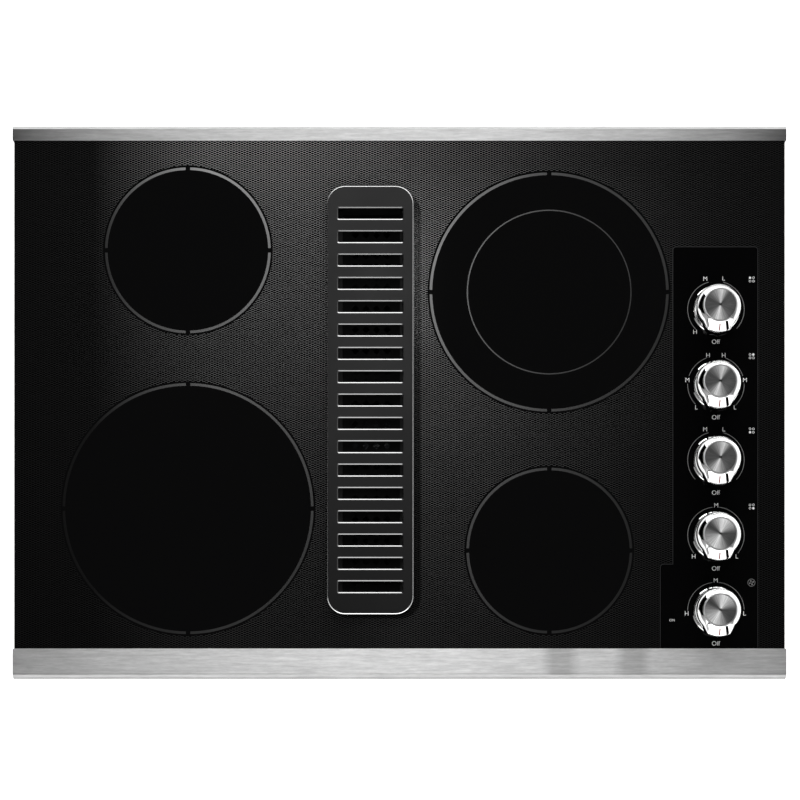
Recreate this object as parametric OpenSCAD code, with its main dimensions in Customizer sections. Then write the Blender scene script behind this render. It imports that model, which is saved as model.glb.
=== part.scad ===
// Electric downdraft cooktop, 30 inch class.
// Origin: centre of the countertop cut-out, on the countertop. +X right, +Y rear, +Z up.

/* [Overall] */
// Width over the two metal trims
overall_w = 783; // [760:1:820]
// Depth over the two metal trims
overall_d = 560; // [550:1:580]
// How far the glass edge stays inside the trim ends
side_reveal = 1.5; // [1.2:0.1:4]

/* [Countertop] */
// Rim that rests on the countertop beside the cut-out, on each side
rim_side = 25; // [20:0.5:28]
// Rim that rests on the countertop before and behind the cut-out
rim_end = 22; // [18:0.5:23]
// Gap from the burner box to the cut-out on each side
cutout_gap = 4.5; // [3:0.5:6]
// Thickness of the foam seal under the rim
seal_t = 2; // [1:0.5:4]
// Width of the foam seal
seal_w = 12; // [8:1:14]

/* [Sheet metal] */
// Sheet thickness of the burner box, rails and vent chamber
sheet_t = 1; // [0.8:0.1:1.5]
// Depth of the burner box below its flange
box_h = 95; // [88:1:110]
// Overlap of the glass past the burner box flange
flange_inset = 5; // [3:1:7]

/* [Glass] */
// Thickness of the glass plate
glass_t = 4; // [4:0.5:6]
// Thickness of the silicone bead under the glass
glass_seal_t = 0.5; // [0.4:0.1:1]
// Width of the silicone bead
glass_seal_w = 9; // [5:1:12]
// Corner radius of the glass plate
glass_r = 3; // [1:0.5:6]
// Diameter of each shaft hole in the glass
shaft_hole_d = 10; // [8:0.5:12]

/* [Trims] */
// Width of the front trim
front_trim_w = 31; // [24:1:40]
// Width of the rear trim
rear_trim_w = 15; // [12:1:24]
// Thickness of the trim sheet
trim_t = 1; // [0.8:0.1:1.2]
// Width of the sloped outer edge of the front trim
front_bevel = 4.5; // [3:0.5:5]
// Width of the sloped outer edge of the rear trim
rear_bevel = 3; // [2:0.5:4]
// Gap from the trims down to the countertop
trim_lift = 0.3; // [0.2:0.1:1]
// Width of the lip that the trims fold in under the glass
trim_lip = 5; // [3:0.5:6]

/* [Vent opening] */
// Place of the vent across the cooktop
vent_x = -29.5; // [-32:0.5:-27]
// Place of the vent along the cooktop
vent_y = 1.7; // [-4:0.1:6]
// Width of the cut-out in the glass for the vent
vent_cut_w = 80; // [78:1:84]
// Length of the cut-out in the glass for the vent
vent_cut_d = 425; // [415:1:430]
// Corner radius of that cut-out
vent_cut_r = 14; // [8:1:18]
// Gap from the vent throat to the glass on each side
throat_gap = 2; // [1:0.5:3]

/* [Vent grille] */
// Width of the grille
grille_w = 87; // [85:1:92]
// Length of the grille
grille_d = 432; // [430:1:440]
// Corner radius of the grille
grille_r = 18; // [14:1:24]
// Height of the grille above the glass
grille_h = 6; // [4:0.5:9]
// Thickness of the slotted plate of the grille
grille_plate_t = 3; // [2:0.5:4]
// Wall of the grille rim
grille_rim_t = 3.5; // [2.5:0.5:5]
// Number of slots
slot_count = 17; // [11:1:17]
// Spacing of the slots
slot_pitch = 23.55; // [21:0.05:24]
// Length of a slot, across the grille
slot_w = 67; // [50:1:68]
// Width of a slot
slot_d = 13; // [8:0.5:16]
// Corner radius of a slot
slot_r = 1.5; // [0.5:0.5:4]
// Depth of the locating skirt below the glass surface
skirt_depth = 12; // [6:1:20]
// Wall of the locating skirt
skirt_t = 1.5; // [1:0.25:2]
// Gap from the skirt to the throat wall
skirt_gap = 1; // [0.5:0.25:1.5]
// Gap under a lift-out piece at rest
rest_gap = 0.2; // [0.1:0.05:0.3]

/* [Grease filter] */
// Depth of the filter ledge below the countertop
filter_depth = 60; // [45:1:70]
// Height of the filter frame
filter_h = 9; // [7:0.5:14]
// Width of the frame rails
filter_rail = 5; // [4:0.5:8]
// Gap from the filter to the throat wall
filter_gap = 2; // [1:0.5:2.5]
// Thickness of the filter mesh
mesh_t = 4.6; // [3:0.1:5]
// Depth of the groove that holds the mesh
mesh_groove = 3; // [2:0.5:3]
// Spacing of the mesh openings
mesh_pitch = 11; // [10:0.5:16]
// Side of a mesh opening
mesh_hole = 5.4; // [3:0.2:6]
// Width of the ledge under the filter
ledge_w = 6; // [5:0.5:8]

/* [Vent chamber] */
// Height below the countertop where the chamber starts to taper
taper_top = 110; // [105:1:125]
// Height below the countertop where the taper ends
taper_end = 186; // [180:1:190]
// Half length of the narrow part of the chamber
chamber_half = 118; // [104:1:122]
// Depth of the straight part below the countertop
chamber_depth = 322; // [318:1:330]
// Depth of the chamber floor below the countertop
chamber_floor = 346; // [340:1:360]
// Half length of the chamber floor
floor_half = 46; // [38:1:60]
// Width of the flange that bolts up to the burner box
chamber_flange = 14; // [10:1:18]

/* [Overflow jar] */
// Outer radius of the jar neck
jar_r = 33.2; // [30:0.1:33.4]
// Wall of the jar
jar_t = 2; // [1.5:0.25:3]
// Height of the jar
jar_h = 88; // [60:1:110]
// Height of the jar socket
socket_h = 14; // [10:1:20]
// Wall of the jar socket
socket_t = 3; // [2:0.5:3.5]
// Gap from the jar neck to the socket
jar_gap = 0.4; // [0.3:0.05:0.8]

/* [Blower] */
// Depth of the blower axis below the countertop
blower_depth = 250; // [247:1:254]
// Place of the blower axis front to rear
blower_y = 0; // [-6:1:8]
// Inside width of the blower housing
scroll_w = 78; // [72:1:90]
// Sheet thickness of the blower housing
scroll_t = 1.2; // [1:0.1:2]
// Outer radius of the blower wheel
wheel_r = 75; // [60:1:76]
// Gap from the wheel to the housing at its tightest
wheel_gap = 8; // [5:0.5:10]
// How far the housing widens over its turn
scroll_growth = 45; // [38:1:50]
// Distance from the blower axis to the outlet
outlet_reach = 135; // [132:1:145]
// Width of the outlet flange
outlet_flange = 10; // [8:1:12]
// Width of the wheel
wheel_w = 58; // [45:1:60]
// Number of blades
blade_count = 28; // [16:1:36]
// Radial depth of a blade
blade_depth = 13; // [10:1:13]
// Radius of the inlet in the housing cover
inlet_r = 58; // [50:1:59]
// Length of the inlet ring
inlet_lip = 8; // [5:0.5:9]

/* [Motor] */
// Outer radius of the motor
motor_r = 48; // [44:1:56]
// Length of the motor
motor_l = 64; // [60:1:90]
// Radius of the motor shaft
motor_shaft_r = 4; // [3:0.25:5]
// Outer radius of a bearing
bearing_r = 11; // [9:0.5:12]
// Width of a bearing
bearing_w = 7; // [5:0.5:8]
// Radius of the rotor core
rotor_r = 28; // [22:0.5:30]
// Length of the rotor core
rotor_l = 32; // [26:1:36]
// Running gap between shaft and bearing
run_gap = 0.05; // [0.03:0.01:0.08]

/* [Duct] */
// Outer radius of the duct collar, for round 6 inch duct
collar_r = 75.5; // [75:0.1:75.5]
// Length of the duct collar
collar_l = 38; // [30:1:60]
// Wall of the duct collar
collar_t = 1; // [0.8:0.1:1.4]
// Side of the square plate behind the collar
collar_plate = 162; // [156:1:166]
// Radius of the flap pin
flap_pin_r = 2; // [1.5:0.25:2.5]
// Overlap of the flap past the opening it closes
flap_lap = 3.5; // [2:0.5:4]
// Thickness of the flap
flap_t = 1.2; // [0.8:0.1:2]

/* [Heating zones] */
// Radius of the rear left zone, and of the front right one
small_zone_r = 82.6; // [70:0.1:84]
// Radius of the front left zone
large_zone_r = 125.7; // [110:0.1:127]
// Radius of the rear right zone
dual_zone_r = 119.7; // [105:0.1:121]
// Radius of the inner circuit of the rear right zone
dual_inner_r = 82.8; // [70:0.1:88]
// From the left end to the middle of the rear left zone
rear_left_side = 177.3; // [173:0.1:185]
// From the rear edge to the middle of the rear left zone
rear_left_end = 125.9; // [122:0.1:130]
// From the left end to the middle of the front left zone
front_left_side = 177.5; // [175:0.1:179]
// From the front edge to the middle of the front left zone
front_left_end = 172.6; // [170:0.1:174]
// From the middle of the vent to the middle of the rear right zone
rear_right_side = 181; // [178:0.1:183]
// From the rear edge to the middle of the rear right zone
rear_right_end = 168.2; // [165:0.1:170]
// From the middle of the vent to the middle of the front right zone
front_right_side = 181.2; // [176:0.1:187]
// From the front edge to the middle of the front right zone
front_right_end = 130.1; // [128:0.1:134]

/* [Heating elements] */
// Margin of the element pan outside its zone
pan_margin = 7.4; // [6:0.2:8]
// Depth of the element pan
pan_h = 28; // [24:1:34]
// Sheet thickness of the element pan
pan_t = 0.8; // [0.6:0.1:1.2]
// Distance from the pan edge up to the glass
pan_drop = 2; // [1:0.5:4]
// Thickness of the insulation bed
bed_t = 12; // [8:1:14]
// Wall of the insulation ring
ring_wall = 7; // [5:0.5:8]
// Gap from the insulation to the pan wall
bed_gap = 0.2; // [0.1:0.1:0.5]
// Thickness of the heating ribbon
ribbon_t = 1; // [0.6:0.1:1.5]
// Height of the heating ribbon
ribbon_h = 5; // [3:0.5:5]
// Spacing of the ribbon's turns
ribbon_pitch = 9; // [7:0.5:14]
// Radius of the innermost turn
ribbon_start = 14; // [12:1:20]
// Free gap where the ribbon turns back
ribbon_turn = 12; // [8:1:18]
// Radius of the limiter rod
rod_r = 2; // [1.5:0.25:2.25]
// Depth of the limiter rod below the glass
rod_drop = 6.5; // [5.5:0.5:7]
// Gap round the limiter rod where it passes a wall
rod_gap = 0.4; // [0.2:0.1:0.6]
// Length of a limiter block, out from the pan
limiter_l = 16; // [10:1:20]
// Width of a limiter block
limiter_w = 20; // [14:1:26]
// Height of a limiter block
limiter_h = 14; // [10:1:18]
// Width of an element rail
rail_w = 40; // [30:1:50]
// Width of the feet of a rail
rail_foot = 12; // [8:1:16]
// Distance from a rail end to the box wall
rail_end_gap = 12; // [2:1:30]
// Height of the leaf springs
spring_h = 17; // [12:1:24]
// Thickness of the leaf springs
spring_t = 1; // [0.6:0.1:1.2]
// Width of the leaf springs
spring_w = 16; // [10:1:24]

/* [Knobs] */
// From the right end to the knob column
knob_side = 71.2; // [69.5:0.1:72.5]
// From the front edge to the frontmost knob
knob_front = 69.4; // [66:0.1:75]
// Spacing of the knobs
knob_pitch = 76.2; // [74:0.1:77]
// Height of a knob's top face above the glass
knob_top = 28; // [24:1:34]
// Radius of the knob skirt
knob_r = 22; // [20:0.5:24]
// Height of the knob skirt below its shoulder
knob_skirt_h = 15; // [12:0.5:16.5]
// Height of the knob's sloping shoulder
knob_shoulder_h = 5; // [3:0.5:6.5]
// Radius of the knob at its top
knob_top_r = 17; // [16:0.5:18.5]
// Reach of the pointer from the knob's centre
pointer_r = 26.3; // [25:0.1:29]
// Width of the pointer
pointer_w = 20; // [14:1:24]
// Wall of the knob
knob_wall = 2; // [1.5:0.25:3]
// Radius of the metal cap on the knob
cap_r = 15.6; // [13:0.1:15.6]
// Thickness of the metal cap
cap_t = 1.2; // [0.8:0.1:2]
// Outer radius of the ring under a knob
bezel_r = 24; // [22:0.5:26]
// Height of the ring under a knob
bezel_h = 1.6; // [1:0.1:2.5]
// How far a knob pushes in
push_travel = 2.5; // [1.5:0.1:3]
// Gap left under a pushed knob
push_gap = 0.4; // [0.3:0.1:1]

/* [Switches] */
// Radius of a switch shaft
shaft_r = 3; // [2.5:0.25:3.5]
// Distance from the shaft's centre to its flat
shaft_flat = 1.6; // [1:0.1:2.2]
// Running gap round a shaft
shaft_gap = 0.08; // [0.05:0.01:0.1]
// Width of a switch
switch_w = 46; // [40:1:50]
// Length of a switch, front to rear
switch_l = 44; // [36:1:56]
// Height of a switch
switch_h = 28; // [24:1:36]
// Height of the two-circuit switch
dual_switch_h = 40; // [30:1:52]
// Outer radius of the switch nose
nose_r = 8; // [7.5:0.25:9]
// Wall of the switch nose
nose_wall = 1.8; // [1.2:0.1:2]
// Height of the switch nose above its body
nose_h = 10; // [9.5:0.5:11]
// Thickness of the sprung collar in the nose
seat_t = 3; // [2:0.5:4]
// Gap from the collar to the nose
seat_gap = 0.3; // [0.2:0.05:0.5]
// Width of the control bracket
bracket_w = 64; // [60:1:70]
// Sheet thickness of the control bracket
bracket_t = 1.2; // [1:0.1:2]
// Drop of the control bracket below the glass
bracket_drop = 11.5; // [11:0.5:14]
// Distance from the last knob to each bracket end
bracket_over = 33; // [28:1:36]
// Radius of an indicator lamp
lamp_r = 3; // [2:0.25:4]
// From the knob column to the lamps
lamp_side = 44.4; // [40:0.1:46]
// How far the front lamp stands in front of the frontmost knob
lamp_front = 9.9; // [5:0.1:13]
// Spacing of the lamps
lamp_pitch = 50.5; // [46:0.5:54]

/* [Wiring] */
// From the right end to the middle of the junction cover
junction_side = 73.5; // [72:0.5:79]
// From the rear edge to the middle of the junction cover
junction_end = 68; // [67:1:71]
// Side of the square hole behind the junction cover
junction_hole = 56; // [50:1:58]
// Side of the junction cover
junction_w = 76; // [74:1:78]
// Thickness of the junction cover
junction_t = 1.5; // [1.2:0.1:2.5]
// Radius of the conduit hole, a half inch trade knock-out
conduit_r = 11.1; // [11:0.1:14.3]
// Length of the terminal block
terminal_l = 50; // [40:1:54]
// Depth of the terminal block
terminal_d = 22; // [16:1:24]
// Height of the terminal block
terminal_h = 18; // [12:1:24]

/* [Clamps] */
// Distance from the cut-out edge to a clamp screw
clamp_reach = 12; // [11:1:14]
// Width of a clamp bracket
clamp_w = 40; // [36:1:60]
// Sheet thickness of a clamp bracket
clamp_t = 1.5; // [1.2:0.1:2]
// Height of a clamp bracket
clamp_h = 30; // [24:1:36]
// Depth of the clamp bracket's arm below the countertop
clamp_depth = 84; // [80:1:86]
// Radius of a clamp screw
clamp_screw_r = 3; // [2.5:0.25:4]
// Depth of the clamp pad below the countertop at rest
clamp_pad_depth = 45; // [40:1:55]
// Depth of the clamp screw's head below the countertop
clamp_head_depth = 112; // [108:1:120]

/* [Small screws] */
// Radius of the small screws
screw_r = 2; // [1.5:0.25:2.25]
// Gap from a small screw to its hole
screw_gap = 0.2; // [0.1:0.05:0.3]
// Radius of the heads of the small screws
screw_head_r = 3.8; // [3.2:0.1:4.2]
// Height of the heads of the small screws
screw_head_h = 2.2; // [1.5:0.1:3]
// Length of the small screws
screw_l = 6; // [5:0.5:7]

/* [Hidden] */
$fn = 64;
EPS = 0.01;
KNOBS = 5;
HEAT_KNOBS = 4;

// Levels, from the countertop up
z_flange = seal_t;
z_box_top = z_flange + sheet_t;
z_glass = z_box_top + glass_seal_t;
z_top = z_glass + glass_t;
z_trim = z_top + trim_t;
// Levels, from the glass down
z_floor = z_box_top - box_h + sheet_t;
z_under = z_floor - sheet_t;
z_bracket = z_glass - bracket_drop;
z_switch = z_bracket - bracket_t;
z_throat = z_top - 0.5;
z_filter = -filter_depth;
z_pan_top = z_glass - pan_drop;
z_pan = z_pan_top - pan_h;
z_bed = z_pan + pan_t + bed_t;
z_rod = z_glass - rod_drop;
z_rail = z_pan - spring_h;

// Plan sizes
cutout_w = overall_w - 2 * rim_side;
cutout_d = overall_d - 2 * rim_end;
glass_w = overall_w - 2 * side_reveal;
glass_front = -overall_d / 2 + front_bevel + trim_t;
glass_rear = overall_d / 2 - rear_bevel - trim_t;
glass_d = glass_rear - glass_front;
glass_mid = (glass_rear + glass_front) / 2;
flange_w = glass_w - 2 * flange_inset;
flange_d = glass_d - 2 * flange_inset;
box_w = cutout_w - 2 * cutout_gap;
box_d = cutout_d - 2 * cutout_gap;
BOX_R = 8;
FLANGE_R = 12;
SEAL_SIDE = 4.5;
SEAL_END = 1;
BEAD_INSET = 1;
throat_w = vent_cut_w - 2 * throat_gap;
throat_d = vent_cut_d - 2 * throat_gap;
throat_r = vent_cut_r - throat_gap;
throat_in_w = throat_w - 2 * sheet_t;
throat_in_d = throat_d - 2 * sheet_t;
throat_in_r = throat_r - sheet_t;
skirt_w = throat_in_w - 2 * skirt_gap;
skirt_d = throat_in_d - 2 * skirt_gap;
skirt_r = throat_in_r - skirt_gap;
filter_w = throat_in_w - 2 * filter_gap;
filter_d = throat_in_d - 2 * filter_gap;
filter_r = throat_in_r - filter_gap;

// Zones: place, radius and the side that the limiter block looks to
REAR_LEFT = [rear_left_side - overall_w / 2, overall_d / 2 - rear_left_end, small_zone_r, 0];
FRONT_LEFT = [front_left_side - overall_w / 2, front_left_end - overall_d / 2, large_zone_r, 90];
REAR_RIGHT = [vent_x + rear_right_side, overall_d / 2 - rear_right_end, dual_zone_r, -90];
FRONT_RIGHT = [vent_x + front_right_side, front_right_end - overall_d / 2, small_zone_r, -45];
ZONES = [REAR_LEFT, FRONT_LEFT, REAR_RIGHT, FRONT_RIGHT];

// Blower, from the vent chamber's right wall outwards
x_wall = vent_x + throat_w / 2;
x_scroll = x_wall + scroll_t;
x_back = x_scroll + scroll_w;
x_wheel = x_scroll + inlet_lip + 1;
z_blower = -blower_depth;
scroll_r0 = wheel_r + wheel_gap;
INLET_CLEAR = 2;
TONGUE = -30;
SCROLL_TURN = 300;
tongue_z = scroll_r0 * sin(TONGUE);
outlet_bottom = -(scroll_r0 + scroll_growth);
y_outlet = blower_y + outlet_reach;
x_duct = (x_scroll + x_back) / 2;
z_duct = z_blower + (tongue_z + outlet_bottom) / 2;
outlet_w = scroll_w - 2 * scroll_t;
outlet_h = tongue_z - outlet_bottom - 2 * scroll_t;
collar_base = y_outlet + scroll_t;
x_motor = x_back;
BELL_T = 8;
MOTOR_WALL = 3;
STATOR_GAP = 0.5;
WHEEL_DISC_T = 1.5;
BLADE_INSET = 0.8;
HUB_L = 18;
HUB_WALL = 8;
MOTOR_VENTS = 8;
flap_w = outlet_w + 2 * flap_lap;
flap_h = outlet_h + 2 * flap_lap;
FLAP_STANDOFF = 0.6;
y_flap = collar_base + FLAP_STANDOFF + flap_pin_r;
z_flap = z_duct + flap_h / 2;
EAR_T = 3;
EAR_H = 8;
EAR_GAP = 0.4;

// Filter ledge, mesh and jar
LEDGE_T = 1.5;
MESH_FIT = 0.2;
MESH_END = 0.3;
z_jar_seat = -chamber_floor - socket_h;
SOCKET_STOP = 2;
JAR_BELLY = 2.3;
JAR_FOOT = 4;
MOUTH_LIP = 2;

// Elements
LEAF_END = 26;
LEAF_BEND = 15;
LEAF_TOP = 7;
LEAF_PLACE = 0.55;
DIVIDER_T = 6;
RIBBON_CLEAR = 3;
LIMITER_GAP = 0.3;
LIMITER_RISE = 4;
ROD_PAST = 10;
ROD_END = 2;

// Clamps
clamp_x = cutout_w / 2 + clamp_reach;
CLAMP_PAD_R = 7;
CLAMP_PAD_T = 3;
CLAMP_HEAD_H = 4;
NUT_T = 5;
NUT_R = 6;

// Places of the fixings: angles, or shares of a length
CHAMBER_SCREWS = [-0.42, -0.14, 0.14, 0.42];
CLAMP_SCREWS = 0.62;
OUTLET_SCREWS = 0.3;
COVER_SCREW_OUT = 3;
MOTOR_SCREWS = [30, 150, 270];
MOTOR_SCREW_IN = 12;

// Knobs, switches and wiring
knob_x = overall_w / 2 - knob_side;
knob_y = knob_front - overall_d / 2 + (KNOBS - 1) * knob_pitch;
lamp_x = knob_x - lamp_side;
lamp_front_y = knob_front - overall_d / 2 - lamp_front;
lamp_rear_y = lamp_front_y + lamp_pitch;
junction_x = overall_w / 2 - junction_side;
junction_y = overall_d / 2 - junction_end;
z_bezel = z_top + bezel_h;
z_knob = z_bezel + push_travel + push_gap;
knob_h = z_top + knob_top - z_knob;
BEZEL_HOLE = 7;
HUB_R = 6;
SEAT_REST = 3.2;
SHAFT_FOOT = 3;
SHAFT_SHORT = 1.5;
TAB_INSET = 0.6;
TAB_DROP = 1.5;
CAP_FIT = 0.1;
BRACKET_FOOT = 12;
BLADE_W = 6.3;
BLADE_T = 0.8;
BLADE_H = 8;
BLADE_PITCH = 10;
TERMINAL_GAP = 6;
POLES = 3;

// Plan shape with round corners
module rounded(w, d, r) {
    square([w - 2 * r, d], center = true);
    square([w, d - 2 * r], center = true);
    for (x = [-1, 1], y = [-1, 1])
        translate([x * (w / 2 - r), y * (d / 2 - r)]) circle(r);
}

module slab(w, d, r, z0, h) {
    translate([0, 0, z0]) linear_extrude(h) rounded(w, d, r);
}

// Upright ring between two round-cornered outlines
module ring_slab(w, d, r, w_in, d_in, r_in, z0, h) {
    translate([0, 0, z0]) linear_extrude(h) difference() {
        rounded(w, d, r);
        rounded(w_in, d_in, r_in);
    }
}

// Upright round tube or disc
module tube(r, r_in, z0, h) {
    translate([0, 0, z0]) linear_extrude(h) difference() {
        circle(r);
        circle(r_in);
    }
}

// A profile drawn in Y and Z, drawn out along X
module along_x(x0, length) {
    translate([x0, 0, 0]) rotate([90, 0, 90]) linear_extrude(length) children();
}

// A profile drawn in X and Z, drawn out along Y
module along_y(y0, length) {
    translate([0, y0 + length, 0]) rotate([90, 0, 0]) linear_extrude(length) children();
}

module rod_x(x0, length, r) {
    translate([x0, 0, 0]) rotate([0, 90, 0]) cylinder(r = r, h = length);
}

module at_vent() {
    translate([vent_x, vent_y, 0]) children();
}

module at_zone(zone) {
    translate([zone[0], zone[1], 0]) rotate([0, 0, zone[3]]) children();
}

function knob_place(i) = [knob_x, knob_y - (i - 1) * knob_pitch, 0];

module at_knob(i) {
    translate(knob_place(i)) children();
}

// Fixings. In its own frame a screw has its head below 0 and its thread above
module screw_body() {
    translate([0, 0, -screw_head_h]) cylinder(r = screw_head_r, h = screw_head_h);
    translate([0, 0, -EPS]) cylinder(r = screw_r, h = screw_l + EPS);
}

module screw_hole() {
    translate([0, 0, -EPS]) cylinder(r = screw_r + screw_gap, h = screw_l + 2);
}

module at_chamber_screws() {
    half = throat_w / 2 + chamber_flange / 2;
    for (x = [-half, half], y = CHAMBER_SCREWS)
        translate([vent_x + x, vent_y + y * throat_d, z_under - sheet_t]) children();
}

module at_junction_screws() {
    half = junction_hole / 4 + junction_w / 4;
    for (x = [-half, half], y = [-half, half])
        translate([junction_x + x, junction_y + y, z_under - junction_t]) children();
}

module at_clamp_screws(side) {
    for (y = [-clamp_w / 4, clamp_w / 4])
        translate([side * (box_w / 2 + clamp_t), y, -clamp_depth + clamp_h * CLAMP_SCREWS])
            rotate([0, -side * 90, 0]) children();
}

module at_cover_screws() {
    r = (inlet_r + wheel_r) / 2 + COVER_SCREW_OUT;
    for (a = [45:90:315])
        translate([x_wall - sheet_t, blower_y + r * cos(a), z_blower + r * sin(a)])
            rotate([0, 90, 0]) children();
}

module at_motor_screws() {
    for (a = MOTOR_SCREWS)
        translate([x_back - scroll_t, blower_y, z_blower]) rotate([a, 0, 0])
            translate([0, 0, motor_r - MOTOR_SCREW_IN]) rotate([0, 90, 0]) children();
}

module at_outlet_screws() {
    x = outlet_w / 2 + scroll_t + outlet_flange / 2;
    z = outlet_h * OUTLET_SCREWS;
    for (sx = [-1, 1], sz = [-1, 1])
        translate([x_duct + sx * x, y_outlet - scroll_t, z_duct + sz * z])
            rotate([-90, 0, 0]) children();
}

// Top plate, trims and seals
module glass_top() {
    color("black") difference() {
        translate([0, glass_mid, 0]) slab(glass_w, glass_d, glass_r, z_glass, glass_t);
        at_vent() slab(vent_cut_w, vent_cut_d, vent_cut_r, z_glass - 1, glass_t + 2);
        for (i = [1:KNOBS])
            at_knob(i) translate([0, 0, z_glass - 1])
                cylinder(d = shaft_hole_d, h = glass_t + 2);
    }
}

// A trim's section, from its outer edge inwards
module trim_profile(width, bevel) {
    polygon([
        [0, trim_lift], [0, z_trim - bevel], [bevel, z_trim], [width, z_trim], [width, z_top],
        [bevel + trim_t * 0.4, z_top], [trim_t, z_top - bevel + trim_t * 0.4],
        [trim_t, trim_lift + trim_t], [trim_lip, trim_lift + trim_t], [trim_lip, trim_lift]
    ]);
}

module trim_end(width, bevel) {
    polygon([
        [0, trim_lift], [0, z_trim - bevel], [bevel, z_trim], [width, z_trim],
        [width, trim_lift]
    ]);
}

module trim(width, bevel) {
    along_x(-overall_w / 2, overall_w) trim_profile(width, bevel);
    for (x = [-overall_w / 2, overall_w / 2 - trim_t])
        along_x(x, trim_t) trim_end(width, bevel);
}

module front_trim() {
    color("lightgray") translate([0, -overall_d / 2, 0]) trim(front_trim_w, front_bevel);
}

module rear_trim() {
    color("lightgray") translate([0, overall_d / 2, 0]) mirror([0, 1, 0])
        trim(rear_trim_w, rear_bevel);
}

module countertop_seal() {
    w = cutout_w + 2 * SEAL_SIDE;
    d = cutout_d + 2 * SEAL_END;
    color("dimgray") translate([0, glass_mid, 0]) ring_slab(
        w + 2 * seal_w, d + 2 * seal_w, FLANGE_R, w, d, FLANGE_R - 2, 0, seal_t);
}

module glass_seal() {
    w = flange_w - 2 * BEAD_INSET;
    d = flange_d - 2 * BEAD_INSET;
    color("gray") translate([0, glass_mid, 0]) ring_slab(
        w, d, FLANGE_R, w - 2 * glass_seal_w, d - 2 * glass_seal_w, FLANGE_R - 4,
        z_box_top, glass_seal_t);
}

module burner_box() {
    color("silver") difference() {
        union() {
            translate([0, glass_mid, 0]) slab(flange_w, flange_d, FLANGE_R, z_flange, sheet_t);
            slab(box_w, box_d, BOX_R, z_under, z_box_top - z_under);
        }
        slab(box_w - 2 * sheet_t, box_d - 2 * sheet_t, BOX_R - sheet_t, z_floor, box_h + 1);
        at_vent() slab(vent_cut_w, vent_cut_d, vent_cut_r, z_under - 1, sheet_t + 2);
        translate([junction_x, junction_y, z_under - 1]) linear_extrude(sheet_t + 2)
            square(junction_hole, center = true);
        at_chamber_screws() screw_hole();
        at_junction_screws() screw_hole();
        at_clamp_screws(-1) screw_hole();
        at_clamp_screws(1) screw_hole();
    }
}

// Vent, from the grille down to the jar
module slots(z0, h) {
    for (i = [0:slot_count - 1])
        translate([0, (i - (slot_count - 1) / 2) * slot_pitch, 0])
            slab(slot_w, slot_d, slot_r, z0, h);
}

module vent_grille() {
    z0 = z_top + rest_gap;
    z1 = z_top + grille_h;
    plate_z = z1 - grille_plate_t;
    color("dimgray") at_vent() difference() {
        union() {
            ring_slab(grille_w, grille_d, grille_r, grille_w - 2 * grille_rim_t,
                grille_d - 2 * grille_rim_t, grille_r - grille_rim_t, z0, plate_z - z0);
            slab(grille_w, grille_d, grille_r, plate_z, grille_plate_t);
            ring_slab(skirt_w, skirt_d, skirt_r, skirt_w - 2 * skirt_t, skirt_d - 2 * skirt_t,
                skirt_r - skirt_t, z_top - skirt_depth, plate_z - z_top + skirt_depth);
        }
        slots(plate_z - 1, grille_plate_t + 2);
    }
}

module filter_frame() {
    in_w = filter_w - 2 * filter_rail;
    in_d = filter_d - 2 * filter_rail;
    groove_h = mesh_t + 2 * MESH_FIT;
    groove_z = z_filter + rest_gap + (filter_h - groove_h) / 2;
    color("silver") at_vent() difference() {
        ring_slab(filter_w, filter_d, filter_r, in_w, in_d, 2, z_filter + rest_gap, filter_h);
        slab(in_w + 2 * mesh_groove, in_d + 2 * mesh_groove, 2, groove_z, groove_h);
    }
}

module filter_mesh() {
    w = filter_w - 2 * filter_rail + 2 * (mesh_groove - MESH_END);
    d = filter_d - 2 * filter_rail + 2 * (mesh_groove - MESH_END);
    columns = floor((w - 2 * mesh_groove - mesh_pitch / 2) / mesh_pitch);
    rows = floor((d - 2 * mesh_groove - mesh_pitch / 2) / mesh_pitch);
    mesh_z = z_filter + rest_gap + (filter_h - mesh_t) / 2;
    color("gainsboro") at_vent() translate([0, 0, mesh_z]) linear_extrude(mesh_t) difference() {
        square([w, d], center = true);
        for (i = [0:columns - 1], j = [0:rows - 1])
            translate([(i - (columns - 1) / 2), (j - (rows - 1) / 2)] * mesh_pitch)
                rotate(45) square(mesh_hole, center = true);
    }
}

// The chamber's side outline, moved in by the wall
function chamber_outline(t) = [
    [-throat_d / 2 + t, z_throat], [-throat_d / 2 + t, -taper_top],
    [-chamber_half + t, -taper_end], [-chamber_half + t, -chamber_depth],
    [-floor_half, -chamber_floor + t], [floor_half, -chamber_floor + t],
    [chamber_half - t, -chamber_depth], [chamber_half - t, -taper_end],
    [throat_d / 2 - t, -taper_top], [throat_d / 2 - t, z_throat]
];

module chamber_body(t, r, extra) {
    h = chamber_floor + z_throat;
    intersection() {
        translate([vent_x, vent_y, 0]) slab(throat_w - 2 * t, throat_d - 2 * t, r,
            -chamber_floor - 1, h + 2 + extra);
        translate([0, vent_y, 0]) along_x(vent_x - throat_w / 2, throat_w) union() {
            polygon(chamber_outline(t));
            translate([-throat_d / 2 + t, z_throat - 1]) square([throat_d - 2 * t, 1 + extra]);
        }
    }
}

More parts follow.
